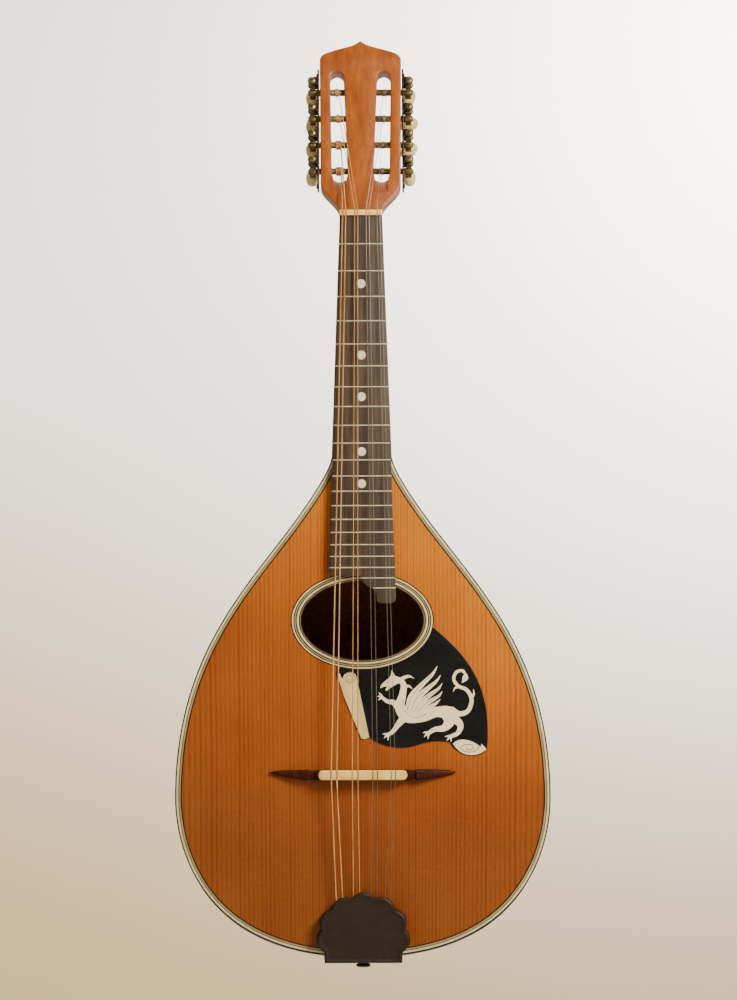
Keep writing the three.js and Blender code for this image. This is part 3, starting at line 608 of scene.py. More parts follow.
def make_bowl():
    """Ribs from the neck to the tail, slightly hollowed along their length, with pale spacers."""
    groups = ("ribs_treble_edge", "ribs_treble", "ribs_back", "ribs_bass", "ribs_bass_edge")
    each = RIBS // len(groups)
    flute, flute_half, spacer, shares = 0.45, 60, 0.4, (0, 0.12, 0.3, 0.5, 0.7, 0.88, 1)
    rib_width, rib_apart = 14, 53  # in the grain's coordinates, so that no two ribs look alike
    for group, name in enumerate(groups):
        first, last = group * each, (group + 1) * each
        rows, grain = [], []
        for t in steps(160):
            outer, wall = side_point(t), side_point(t, BOWL_WALL)
            trim = min(spacer / max(outer.x, 1), 0.04)
            hollow = flute * min(1, outer.x / flute_half)
            stations = []
            for rib in range(first, last):
                start, end = pi * rib / RIBS, pi * (rib + 1) / RIBS
                start += trim if rib else 0
                stations += [(rib, share, start + (end - start) * share) for share in shares]
            if last < RIBS:
                stations.append((last, 0, pi * last / RIBS + trim))
            around, coordinates, within = [], [], []
            for rib, share, angle in stations:
                around.append(bowl_point(outer.x - hollow * 4 * share * (1 - share), outer.y, angle))
                coordinates.append((share * rib_width, rib * rib_apart, t * SIDE_LENGTHS[-1]))
                within.append(bowl_point(wall.x, wall.y, angle))
            rows.append(around + within[::-1])
            grain.append(coordinates + coordinates[::-1])
        size = len(rows[0]) // 2
        kinds = ([0] * (len(shares) - 1) + [1]) * (each + 1)
        kinds = kinds[:size - 1] + [2] * (size + 1)
        shape = Shape().solid(rows, kinds, grain=grain)
        stand_in(name, shape, [RIB_WOOD, SPACER, RAW_WOOD], 50)


def tail_z(half, inset):
    """The height on the tail end where the body is twice half wide."""
    near, far = 0.5, 1.0
    for _ in range(30):
        middle = (near + far) / 2
        if side_point(middle, inset).x > half:
            near = middle
        else:
            far = middle
    return side_point(far, inset).y


def make_clasp():
    """The wide band round the tail end, thinner along its edges and towards its ends."""
    half, edge, rise, fade, thick, taper = 103, 22, 25, 110, 0.5, 25
    shares = (0, 0.02, *steps(8, 0.12, 0.95), 0.985, 1)

    def surface(gap, thickness, share):
        points = []
        for x in steps(70, -half, half):
            depth = (edge + rise * cos(pi / 2 * x / fade) ** 2) * share
            proud = gap + thickness * min(1, (half - abs(x)) / taper)
            z = tail_z(hypot(x, depth / BOWL_RATIO), -proud)
            points.append((x, RIM_Y + top_y(z) + depth, z))
        return points

    rings = []
    for share in shares:
        proud = thick / 2 if share in (shares[0], shares[-1]) else thick
        rings.append(surface(0.25, proud, share) + surface(0.1, 0, share)[::-1])
    shape = Shape().solid(rings)
    stand_in("tail_clasp", shape, [CLASP_WOOD], 40)


def make_soundboard():
    """The top inside its binding, with its hole, finely divided where it bends."""
    outline = body_outline(BINDING_WIDTH)
    hole = ring((0, HOLE_Z), [h + 0.1 for h in ROSETTE_HALF], 120)
    bend = [Vector((x, CANT_Z + dz)) for dz in (-4, -2, 0, 2, 4) for x in range(-112, 113, 8)]
    spread = [Vector((x, z)) for x in range(-110, 111, 10) for z in range(-460, -160, 12)
              if abs(z - CANT_Z) > 8]
    more = [p for p in bend + spread if inside(p, body_outline(BINDING_WIDTH + 2)) and not inside(p, hole)]
    corners, triangles = filled([outline], [hole], more)
    shape = Shape().sheet(corners, triangles, lambda x, z: top_y(z), lambda x, z: top_y(z) + TOP_THICK)
    stand_in("soundboard", shape, [SPRUCE])


def banded(bands):
    """A section (inset, y) across inlaid bands, from (width, kind, how far its middle stands proud)."""
    section, kinds, inset = [(0, TOP_THICK), (0, 0.25)], [0, 0], 0.12
    for width, kind, proud in bands:
        section += [(inset, 0), (inset + width * 0.3, -proud), (inset + width * 0.7, -proud)]
        kinds += [kind] * 3
        inset += width
    return [*section, (inset, 0), (inset, TOP_THICK)], [*kinds, 0, 0]


def make_binding():
    """Edge strips, from outside: dark, cream, a thin line, tan, dark."""
    bands = ((0.75, 0, 0), (1.25, 1, 0.05), (0.4, 0, 0), (1.05, 2, 0.02), (0.83, 0, 0))
    section, kinds = banded(bands)
    right = [[(side_point(t, inset), y) for inset, y in section] for t in steps(160)]
    rows = [[Vector((p.x, y + top_y(p.y), p.y)) for p, y in row] for row in right]
    rows += [[Vector((-p.x, p.y, p.z)) for p in row] for row in reversed(rows[:-1])]
    shape = Shape().solid(rows, kinds)
    stand_in("binding", shape, [DARK_STRIP_AND_SLOT_SHADE, IVOROID, OLIVE], 25)


def make_rosette():
    """Oval rings from the outside in. The cream ring nearest the hole is raised and rounded."""
    bands = ((0.55, 0, 0), (0.9, 1, 0.04), (0.65, 0, 0), (0.75, 2, 0.02), (0.65, 0, 0), (1.3, 1, 0.3),
             (0.6, 0, 0), (0.6, 3, 0.03), (0.75, 0, 0))
    section, kinds = banded(bands)
    half_x, half_z = ROSETTE_HALF
    flatten = 6.4 / 6.9  # the rings are narrower above and below the hole
    rows = []
    for angle in steps(160, 0, 2 * pi):
        turn = Vector((cos(angle), sin(angle)))
        rows.append([((half_x - inset) * turn.x, y, HOLE_Z + (half_z - inset * flatten) * turn.y)
                     for inset, y in section])
    shape = Shape().grid(rows, kinds, closed=True)
    stand_in("rosette", shape, [DARK_STRIP_AND_SLOT_SHADE, IVOROID, OLIVE, GOLD_LINE], 25)


# ---- pickguard ----
def stroke(points, curve_steps=6):
    """The outline of a tapered line. Each point is (x, z, width), and the ends are rounded."""
    line = smooth(points, curve_steps)
    right, left = [], []
    for i, point in enumerate(line):
        along = (line[min(i + 1, len(line) - 1)] - line[max(i - 1, 0)]).to_2d().normalized()
        off = Vector((-along.y, along.x)) * abs(point.z) / 2
        right.append(point.to_2d() - off)
        left.append(point.to_2d() + off)
    along = (line[-1] - line[-2]).to_2d().normalized()
    tip = line[-1].to_2d() + along * abs(line[-1].z) / 2
    return [*right, tip, *reversed(left)]


def claws(paw, tips):
    """Curved claws from a paw to each tip."""
    return [stroke([(*paw, 1.5), ((paw[0] + x) / 2, (paw[1] + z) / 2 + 0.3, 1.2), (x, z, 0.25)])
            for x, z in tips]


def beast():
    """A winged heraldic beast of plain, generic design, facing left. Its middle is at (0, 0)."""
    head = [(-27.5, 10.2), (-26.8, 12.6), (-24.6, 14.6), (-22.4, 16.2), (-20.8, 18), (-20, 21.8),
            (-18.2, 18.2), (-15.6, 17.2), (-15.6, 13.6), (-20.4, 11), (-23.6, 8.6), (-24.2, 9.7),
            (-22.6, 11.5), (-25.6, 11.2)]
    feathers = [
        [(-10, -4, 4), (-7.5, 5, 4.2), (-1.5, 12, 3), (5.5, 19, 1.8), (8.6, 24, 0.3)],
        [(-8, -4, 4), (-4, 4, 3.8), (2.5, 10, 2.8), (8, 14.6, 1.6), (10.6, 18.4, 0.3)],
        [(-6, -4.5, 4), (-1, 2, 3.4), (5, 6.8, 2.4), (9.4, 10, 1.5), (11.6, 13.2, 0.3)],
        [(-4, -5, 3.6), (1, 0, 3), (6.4, 3.4, 2.2), (9.8, 5.6, 1.4), (11.8, 8.2, 0.3)],
        [(-2, -5.5, 3.2), (3, -2, 2.4), (7.4, 0.4, 1.8), (10.4, 3.2, 0.3)],
    ]
    lines = [
        *feathers,
        [(-19.5, 14.2, 2.6), (-15.5, 15.6, 3.4), (-12.6, 12, 3.6), (-13.5, 5.5, 4.6), (-15, -1.5, 6.4),
         (-10.5, -7, 8.4), (-1, -7.4, 7.2), (8, -4.8, 6.4), (15.5, -5.4, 8.4), (18.5, -8.5, 6.6)],
        [(-13.6, 16.4, 2.4), (-9.6, 17.8, 1.7), (-6.2, 16.6, 0.3)],
        [(-12.4, 11, 2.2), (-9.2, 11.6, 1.4), (-7.2, 9.8, 0.3)],
        [(-15, -3, 5), (-19, 1.2, 3.4), (-23, 2, 2.4), (-26, 4.4, 1.9)],
        [(-13, -9, 5), (-16.5, -13, 3.4), (-19.5, -17, 2.6), (-22.5, -19, 2.1)],
        [(15, -6, 8), (16, -11, 6.8), (12.4, -15, 4.2), (7, -15.8, 3), (3, -18, 2.3)],
        [(18.5, -8, 6), (23, -13, 4), (21.5, -18, 2.8), (17, -20.2, 2.3)],
        [(17, -3.6, 5), (22.5, -6, 3.4), (28, -4, 2.8), (30.2, 3, 2.5), (27.2, 9, 2.3), (21.8, 11.6, 2.1),
         (19, 15.8, 2), (20.6, 20.2, 1.9), (24.4, 21.2, 1.8), (26.6, 18.6, 1.5)],
        [(26.8, 19.4, 1), (26.2, 16.6, 3.6), (24.2, 13.6, 0.3)],
        [(30, 3.4, 1.8), (31.6, 6.4, 1.2), (31.4, 9.6, 0.3)],
        [(22.4, 11.4, 1.7), (19.8, 10.2, 1.1), (18.6, 8, 0.3)],
    ]
    shapes = [head, *[stroke(line) for line in lines]]
    shapes += claws((-26, 4.4), [(-29.2, 5.2), (-28.4, 7.6), (-28.6, 2.8)])
    shapes += claws((-22.5, -19), [(-26, -18.6), (-25.2, -21.2), (-22.6, -22.6)])
    shapes += claws((3, -18), [(-0.6, -17.8), (0.2, -20.6), (2.6, -21.8)])
    shapes += claws((17, -20.2), [(13.4, -20.4), (14.4, -23), (17.2, -23.6)])
    engraved = [stroke([(x - 0.3, z, 0.28) for x, z, _ in feather[:4]], 4) for feather in feathers[:4]]
    engraved += [stroke([(-12, -4, 0.3), (-8, -7.6, 0.3), (-3, -8, 0.3), (1.5, -5.6, 0.3)])]
    engraved.append(ring((-22.6, 14), (0.42, 0.42), 8))
    return shapes, engraved


def spiral(centre, radius, turns, squash=1.0, start=0.0):
    """A thin engraved spiral that winds in from its radius."""
    per_turn, left_open, width = 14, 0.35, 0.42
    points = []
    for i in range(int(turns * per_turn) + 1):
        turn = i / per_turn
        r = radius * (1 - turn / (turns + left_open))
        angle = start - 2 * pi * turn
        points.append((centre[0] + r * cos(angle), centre[1] + squash * r * sin(angle), width))
    return stroke(points, 2)


def make_pickguard():
    """A polished plate against the rosette, with flush cream inlays and engraved lines in them."""
    clear, thick, edge_round, inlay_y, engraved_y = 0.1, 0.8, 0.25, -0.86, -0.875
    edge = arc((0, HOLE_Z), (ROSETTE_HALF[0] + clear, ROSETTE_HALF[1] + clear), -0.16, -1.93, 40)
    outline = [*edge, Vector((-16.5, -290)), Vector((-1.1, -330.6)), Vector((4.7, -329.6))]
    trace(outline, ([(14, -336), (26, -337.5), (36, -333.6)], 14), ([(46, -330.5), (55, -332.4)], 10),
          ([(60, -341), (73, -344.5), (78.5, -336.5)], 14),
          ([(81.5, -300), (69.5, -280), (45.2, -260.4)], 26))
    plate = Shape().slab([outline], 0, thick, edge_round)
    stand_in("pickguard", plate, [BLACK])
    strip = [(-15.9, -289.6), (-14.4, -288.7), (-13.4, -291.4), (-12.2, -292.2),
             *arc((-8, -291.9), (4.3, 3.9), pi, 0.15, 16),
             (4.2, -329.3), (1.6, -330.2), (-0.7, -330.1), (-11.6, -303.5)]
    leaf = trace([Vector((57, -333.4))], ([(61, -328.6), (70, -331.4), (74.4, -335.6)], 12))
    leaf += [Vector((75, -333.4)), Vector((78, -337))]
    trace(leaf, ([(70.5, -343.4), (61, -340.8), leaf[0]], 12)).pop()
    shapes, engraved = beast()
    middle = Vector((38.6, -308.6))
    figure = [[Vector(p).to_2d() + middle for p in shape] for shape in shapes]
    inlay = Shape()
    for kind, outlines in ((1, [strip]), (0, [leaf]), (0, figure)):
        inlay.sheet(*filled(outlines), lambda x, z: inlay_y, lambda x, z: -0.6, kind)
    lines = Shape()
    cuts = [[Vector(p).to_2d() + middle for p in cut] for cut in engraved]
    cuts += [spiral((-8, -292), 3.9, 1.9, start=2.4), spiral((66.8, -335.9), 6.6, 1.7, 0.5, start=0.3)]
    for cut in cuts:
        lines.sheet(*filled([cut]), lambda x, z: engraved_y, lambda x, z: -0.7)
    build("pickguard_inlay", inlay, [INLAY, OLD_INLAY])
    build("pickguard_engraving", lines, [ENGRAVED])


# ---- neck and head ----
def board_half(z):
    """Half the fingerboard's width at a height."""
    return NUT_HALF + (BOARD_END_HALF - NUT_HALF) * z / BOARD_END_Z


def head_outline():
    """The head's front: shoulders, straight sides, and a low crown with a peak."""
    right = [Vector((NUT_HALF, -0.4)), *bezier([(NUT_HALF, 0), (15, 6), (24, 11), (25.3, 17)], 12)]
    right.append(Vector((HEAD_HALF, HEAD_SIDE_Z)))
    trace(right, ([(HEAD_HALF, 102.4), (22.5, 104.2)], 5), ([(16.2, 106.6), (6.9, 108.9)], 6),
          ([(3, 110), (0, 112.6)], 5))
    return both_sides(right)


def slot_outline(side):
    """A long slot through the head, a little wider and steeper towards its outer side."""
    low_in, low_out, high_in, high_out = 8, 18.2, 10.6, 19.1
    low, high = (low_out - low_in) / 2, (high_out - high_in) / 2
    points = arc((high_in + high, SLOT_HIGH_Z - high), (high, high), 0, pi, 14)
    points += arc((low_in + low, SLOT_LOW_Z + low), (low, low), pi, 2 * pi, 14)
    return [Vector((side * p.x, p.y)) for p in points]


def modify(piece, kind, **settings):
    """Gives a piece a modifier and makes its result the piece's own mesh."""
    modifier = piece.modifiers.new(kind.lower(), kind)
    for key, value in settings.items():
        setattr(modifier, key, value)
    graph = bpy.context.evaluated_depsgraph_get()
    made = bpy.data.meshes.new_from_object(piece.evaluated_get(graph))
    piece.modifiers.clear()
    piece.data = made


def cut_away(piece, shapes):
    """Cuts closed shapes out of a piece."""
    for shape in shapes:
        tool = build("cutter", shape, [MAHOGANY])
        modify(piece, "BOOLEAN", object=tool, solver="EXACT")
        bpy.data.objects.remove(tool)
    piece.data.shade_smooth()
    piece.data.set_sharp_from_angle(angle=radians(HEAD_SHARP))


def make_head():
    """The slotted head, with a ramp below each slot for the strings."""
    outlines = [head_outline(), slot_outline(-1), slot_outline(1)]
    shape = Shape().slab(outlines, -HEAD_THICK, 0, 0.9, place=HEAD @ FACE)
    piece = stand_in("head", shape, [MAHOGANY], HEAD_SHARP, node="neck")
    ramp = ((-1.5, 8.6), (-1.5, 27), (7, 27))  # where the strings run down into the slots
    inner, outer = 8.9, 17.3
    cut_away(piece, [Shape().prism(steps(4, side * inner, side * outer), ramp, place=HEAD)
                     for side in (-1, 1)])


def make_neck():
    """A round-backed shaft that squares up into the head and deepens into the heel."""
    squaring = 24  # the length below the nut over which it squares up
    rows = []
    for z in [*steps(14, 4.5, -30), *steps(30, -34, JOINT_Z - 0.2)]:
        u = max(0, z / JOINT_Z)
        half = NUT_HALF + (JOINT_HALF - NUT_HALF) * u
        depth = HEAD_THICK + 2 * u + 5.4 * u**6 - max(0, z) * 0.28
        squareness = 2 + 2.6 * max(0, min(1, (z + squaring) / squaring)) ** 2
        row = []
        for angle in steps(32, 0, pi):
            c, s = cos(angle), sin(angle)
            x = half * copysign(abs(c) ** (2 / squareness), c)
            row.append((x, depth * abs(s) ** (2 / squareness), z))
        rows.append(row)
    shape = Shape().solid(rows)
    stand_in("neck", shape, [MAHOGANY], 40)


def make_fingerboard():
    """A straight taper, with a stepped end and a tab over the hole on the treble side."""
    left, right = -board_half(BOARD_LEFT_END + 3), board_half(BOARD_TAB_END)
    outline = [Vector((NUT_HALF, 0)), Vector((-NUT_HALF, 0)), Vector((left, BOARD_LEFT_END + 3))]
    trace(outline, ([(left, BOARD_LEFT_END), (left + 3, BOARD_LEFT_END)], 8))
    outline.append(Vector((-1, BOARD_LEFT_END)))
    trace(outline, ([(0, -233), (6, -235.3)], 8), ([(9, -237), (9, -241)], 8),
          ([(9, BOARD_TAB_END), (12.5, BOARD_TAB_END)], 8))
    outline.append(Vector((right - 4, BOARD_TAB_END)))
    trace(outline, ([(right, BOARD_TAB_END), (right - 0.2, BOARD_TAB_END + 4.5)], 8))
    stand_in("fingerboard", Shape().slab([outline], 0, BOARD_THICK, 0.35), [BOARD_WOOD], 35)


def fret_z(number):
    """A fret's height. Number 0 is the nut's edge."""
    return -SCALE * (1 - FRET_STEP**number)


def make_frets():
    """Crowned wires with rounded ends. The last two only reach across the treble side."""
    shape = Shape()
    for number in range(1, FRETS + 1):
        z = fret_z(number)
        right = board_half(z) - 0.15
        left = {20: -0.4, 21: 6.6}.get(number, -right)
        rows = []
        for share, size in ((0, 0.55), (0.006, 0.88), (0.02, 1), (0.98, 1), (0.994, 0.88), (1, 0.55)):
            x = left + (right - left) * share
            rows.append([(x, -BOARD_THICK + 0.1 - size * sin(a), z + 0.44 * size * cos(a))
                         for a in steps(8, 0, pi)])
        shape.solid(rows)
    build("frets", shape, [FRET_METAL], sharp=40)


def make_dots():
    """Slightly crowned pearl dots, each between two frets."""
    dot = ((0, -1), (2.75, -1), (2.75, 0.02), (2.55, 0.08), (1.4, 0.12), (0, 0.13))
    shape = Shape()
    for space in DOT_SPACES:
        z = (fret_z(space) + fret_z(space - 1)) / 2
        shape.turned(dot, 32, place=shift(0, -BOARD_THICK, z) @ FACE)
    build("position_dots", shape, [PEARL])


# Lowest string first: name, radius, x at the nut, saddle and hook, tuner, x on its post.
STRINGS = (
    ("g1", 0.45, -11.5, -19.9, -16.6, 0, -12.4), ("g2", 0.45, -9.6, -16.4, -12.4, 1, -12.6),
    ("d1", 0.3, -3.8, -6.6, -6.2, 2, -13.2), ("d2", 0.3, -2, -3.1, -2, 3, -13.8),
    ("a1", 0.2, 3.3, 6.3, 4.6, 3, 14.6), ("a2", 0.2, 5.2, 9.3, 8.8, 2, 14),
    ("e1", 0.16, 10.2, 17.9, 12.9, 1, 13.4), ("e2", 0.16, 12, 20.5, 16.2, 0, 13.2),
)


def bar(xs, section, middle_z, rounding):
    """A bar along X. section(x) gives its half width, back, front and how far up it is moved."""
    rows = []
    for x in xs:
        half, back, front, up = section(x)
        z = middle_z + up
        r = min(rounding, half * 0.8, (back - front) * 0.8)
        quarter = steps(6, 0, pi / 2)
        low = [(x, front + r - r * sin(a), z - half + r - r * cos(a)) for a in quarter]
        high = [(x, front + r - r * cos(a), z + half - r + r * sin(a)) for a in quarter]
        rows.append([(x, back, z - half), *low, *high, (x, back, z + half)])
    return Shape().solid(rows)


def notch(x, centres, depth, width):
    """How deep a file has cut at x, with slots at the centres."""
    near = min(abs(x - centre) / (radius + width) for centre, radius in centres)
    return depth * max(0, 1 - near**4)


def notch_stations(centres, half):
    """Places along a bar: close together at each slot, and at its rounded ends."""
    xs = {round(x, 3) for x in steps(int(half), -half, half)}
    for centre, radius in centres:
        xs |= {round(centre + d * (radius + 0.2), 3) for d in (-1.2, -1, -0.85, -0.6, 0, 0.6, 0.85, 1, 1.2)}
    return sorted(xs)


def make_nut():
    """A bone bar with a filed slot for each string."""
    centres = [(nut, radius) for _, radius, nut, *_ in STRINGS]

    def section(x):
        round_end = 0.35 * max(0, (abs(x) - NUT_HALF + 0.5) / 0.5) ** 2
        front = -NUT_HEIGHT + notch(x, centres, 1.0, 0.12) + round_end
        return NUT_LENGTH / 2, -0.02, front, 0

    shape = bar(notch_stations(centres, NUT_HALF), section, NUT_LENGTH / 2, 0.55)
    stand_in("nut", shape, [BONE], 40)


def make_saddle():
    """The bridge's bone top: slots for the strings, rounded ends."""
    centres = [(saddle, radius) for _, radius, _, saddle, *_ in STRINGS]
    half, top, thick = 28, 10.3, 6.2

    def section(x):
        end = max(0, (abs(x) - half + 2.6) / 2.6)
        wide = thick / 2 * sqrt(max(0.05, 1 - end**2.4))
        front = -top + notch(x, centres, 0.9, 0.2) + 0.012 * abs(x) + 0.7 * end**3
        return wide, -5.3, front, 0

    ends = {side * (half - gap) for side in (-1, 1) for gap in (0.1, 0.3, 0.6, 1.5)}
    xs = sorted(ends.union(notch_stations(centres, half)))
    stand_in("saddle", bar(xs, section, BRIDGE_Z, 1.1), [BONE], 40, node="bridge_saddle")


def make_bridge():
    """A seat under the bone, a waist with a carved step, and a leaf that tapers to each side."""
    foot, seat, step, waist, tip = 0.05, 28.6, 30, 33.8, 58.6

    def section(x):
        x = abs(x)
        if x < seat:
            return 3.25, foot, -5.4, 0
        if x < step:
            return 3.2, foot, -6.4, 0
        if x < waist:
            return 2.9, foot, -5.0, 0
        share = (x - waist) / (tip - waist)
        half = 3.2 * (1 - share) ** 0.7 * (1 + 0.3 * share) + 0.25
        return half, foot, -1.5 - 4.9 * (1 - share) ** 0.8, 1.6 * share

    right = [0, 14, 28.5, 28.7, 29.9, 30.1, 33.7, *steps(24, 33.9, 58.5)]
    shape = bar([-x for x in reversed(right[1:])] + right, section, BRIDGE_Z, 1.5)
    stand_in("bridge_base", shape, [BRIDGE_WOOD], 38)


# ---- tailpiece ----
def cover_outline():
    """Seven scallops round a circle, then straight down, in the tail's own (x, z)."""
    radius, bulge, widen, lobe, lobes, waist_z = 26, 32.4, 1.035, 32, 7, -112.5

    def at(degrees, r):
        angle = radians(degrees)
        return (widen * r * cos(angle), COVER_MIDDLE_Z + r * sin(angle))

    start = 90 - lobe * lobes / 2
    points = [(COVER_HALF, COVER_END_Z), (COVER_HALF, waist_z), at(start, radius)]
    for i in range(lobes):
        first = start + i * lobe
        points += bezier([at(first, radius), at(first + lobe / 2, bulge), at(first + lobe, radius)], 12)
    points += [(-COVER_HALF, waist_z), (-COVER_HALF, COVER_END_Z)]
    points += [(x, COVER_END_Z) for x in steps(12, -COVER_HALF, COVER_HALF)[1:-1]]
    return [Vector(p) for p in points]


def make_cover():
    """Pressed sheet: a rolled edge, a shallow dish inside it, and flutes that run to the notches."""
    outline = cover_outline()
    middle, mouth_half, mouth_z = Vector((0, -96)), 19, -84  # the strings go in at the mouth
    flute_reach, flute_depth, flute_end_z, dish, lip = 29, 0.12, -108, 0.35, 0.96
    profile = [(1.0, None), (1.0, -6.6), (0.994, -7.6), (0.975, -8.25), (0.95, -8.5), (0.925, -8.42),
               (0.9, -8.15), (0.86, -8.05), (0.7, -8.15), (0.5, -8.25), (0.3, -8.3), (0.12, -8.32)]

    def rim(p):
        return -6.3 if abs(p.x) < mouth_half and p.y > mouth_z else -0.7

    rows = []
    for share, y in profile:
        row = []
        for p in outline:
            scaled = middle + (p - middle) * share
            inwards = max(0, flute_reach - (p - Vector((0, COVER_MIDDLE_Z))).length) * (p.y > flute_end_z)
            fluted = y is not None and share < lip
            flute = flute_depth * inwards * max(0, share - dish) if fluted else 0
            row.append((scaled.x, (rim(p) if y is None else y) + flute, scaled.y))
        rows.append(row)
    shape = Shape().grid(rows, closed=True, place=TAIL)
    shape.add(rows[-1], [list(range(len(rows[-1])))], place=TAIL)
    piece = stand_in("tailpiece_cover", shape, [TAIL_METAL], 40, "cover")
    modify(piece, "SOLIDIFY", thickness=0.8 * MM, offset=-1)  # the sheet's thickness, inwards
    fold = ((6, -470.6), (5.2, -471.5), (6, -472.1), (8, -472.2), (13.6, -472.2), (14, -471.9),
            (14, -471.5), (13.6, -471.2), (6.4, -471.0))
    shape = Shape().prism((-COVER_HALF, -COVER_HALF + 0.3, COVER_HALF - 0.3, COVER_HALF), fold)
    build("tailpiece_fold", shape, [TAIL_METAL], "cover", ["tailpiece_cover"], 50)


def make_tailpiece_base():
    """A plate on the top with eight hooks, and a flange bent down over the tail."""
    plate = [(-18.5, -113.2), (18.5, -113.2), (18.5, -84), (16, -80), (-16, -80), (-18.5, -84)]
    shape = Shape().slab([plate], 0.25, 1.45, 0.25, place=TAIL @ FACE)
    flange = [(-14, 10.6), (14, 10.6), *arc((9, 31), (5, 5), 0, pi / 2, 6)]
    flange += arc((-9, 31), (5, 5), pi / 2, pi, 6)
    downwards = rotation(180, "X") @ Matrix.Scale(-1, 4, (0, 1, 0))
    shape.slab([flange], -FLANGE_Z - 0.8, -FLANGE_Z, 0.2, place=downwards)
    for _, _, _, _, hook, *_ in STRINGS:
        bend = ((-0.8, -90.6), (-3.9, -90.6), (-5, -91.2), (-5.4, -92.6))
        shape.tube(smooth([(hook, y, z) for y, z in bend], 5), 0.7, 10, place=TAIL)
    stand_in("tailpiece_base", shape, [BRASS], 40)


def make_strap_button():
    """A turned knob on a tapered pin, which goes through the flange into the tail block."""
    place = shift(0, PIN_Y, 0)
    knob = ((0, -6.7), (2.6, -6.6), (3.9, -6.5), (4.8, -5.5), (4.9, -4.8), (4.6, -4.1), (3.6, -3.3),
            (3.2, -2.3), (3.4, -1.3), (3.9, -0.3), (3.9, 0), (0, 0))
    shape = Shape().turned([(r, FLANGE_Z + 0.75 * z) for r, z in knob], 40, place=place)
    shape.turned([(0, -471), (2.5, -471), (2.3, -455), (1.9, -450), (0, -450)], 20, place=place)
    stand_in("strap_button", shape, [BLACK], 40)


# ---- tuners ----
def slot_shade_bar(shape, reach, half, low, high, place):
    """A dark bar that stands in for the slot across a screw's head, from low to high along local Z: painted
    shade where the slot's recess would be.
    """
    return shape.prism((-reach, reach), ((-half, low), (half, low), (half, high), (-half, high)), 1, place)


def tuner_heights():
    """The posts' heights above the nut, lowest first."""
    return [TUNER_FIRST + i * TUNER_PITCH for i in range(4)]


def gear_outline(teeth=14, outer=4.35, root=3.35):
    """A toothed wheel's outline, with four points to each tooth."""
    points = []
    for i in range(teeth * 4):
        angle = 2 * pi * (i + 0.5 * (i % 2)) / (teeth * 4)
        points.append(Vector((cos(angle), sin(angle))) * (outer if i % 4 < 2 else root))
    return points


def make_tuner_plate(label, side):
    """A plate on the head's side with a bearing in front of and behind each worm, and its screws."""
    mirror = HEAD @ Matrix.Scale(side, 4, (1, 0, 0))
    low, high, front, rear = 15, 94, 0.4, 12.5
    plate = [(front, low + 1), (front + 1, low), (rear - 1, low), (rear, low + 1),
             (rear, high - 1), (rear - 1, high), (front + 1, high), (front, high - 1)]
    shape = Shape().slab([plate], *PLATE_X, 0.25, place=mirror @ SIDEWAYS)
    lug_half, lug_x, bearings = 2.6, 26.4, (front, 9.6)
    for height in tuner_heights():
        z = height + WORM_ABOVE
        lug = arc((WORM_X + 0.2, z), (lug_half, lug_half), -pi / 2, pi / 2, 12)
        lug = [(lug_x, z - lug_half), *lug, (lug_x, z + lug_half)]
        for y in bearings:
            shape.slab([lug, ring((WORM_X, z), (1.4, 1.4), 18)], -y - 1, -y, 0.15, place=mirror @ FACE)
    screws = Shape()
    dome = ((0, -0.3), (1.9, -0.3), (1.85, 0.15), (1.4, 0.6), (0.7, 0.8), (0, 0.82))
    for z in (17.6, *[height + 11.2 for height in tuner_heights()]):
        place = mirror @ shift(PLATE_X[1], 6.4, z) @ rotation(90, "Y")
        screws.turned(dome, 24, place=place)
        slot = rotation(17 * z) @ shift(0, 0, 0.62)
        # A dark bar across each screw head: painted shade of its slot.
        slot_shade_bar(screws, 1.5, 0.22, 0, 0.24, place @ slot)
    stand_in(f"tuner_plate_{label}", shape, [DARK_BRASS], 40)
    build(f"tuner_screws_{label}", screws, [SCREW_STEEL, DARK_STRIP_AND_SLOT_SHADE], sharp=40)


def make_post(label, side, i, height):
    """The roller, its toothed wheel and the screw that holds the wheel."""
    centre = HEAD @ Matrix.Scale(side, 4, (1, 0, 0)) @ shift(0, TUNER_DEPTH, height)
    along = centre @ SIDEWAYS
    turn = rotation(23 * i + 5 * side)
    roller = [(0, 5.9), (1.8, 5.9), (POST_RADIUS, 6.3), (POST_RADIUS, 28.4), (POST_RADIUS, 28.6), (0, 28.6)]
    shape = Shape().turned(roller, 28, place=along)
    shape.slab([gear_outline()], 28.4, 32.2, 0.22, place=along @ turn)
    shape.turned([(0, 32), (1.9, 32), (1.9, 32.7), (1.5, 33.1), (0, 33.2)], 24, place=along)
    # A dark bar across the wheel's screw: painted shade of its slot.
    slot_shade_bar(shape, 1.7, 0.25, 33.05, 33.24, along @ turn)
    stand_in(f"post_{label}_{i}", shape, [BRASS, DARK_STRIP_AND_SLOT_SHADE], 38, f"roller_{label}_{i}")


def worm_place(side, height):
    """Where a worm's axis meets the plane of the head's front, for the post at a height."""
    return HEAD @ shift(side * WORM_X, 0, height + WORM_ABOVE)


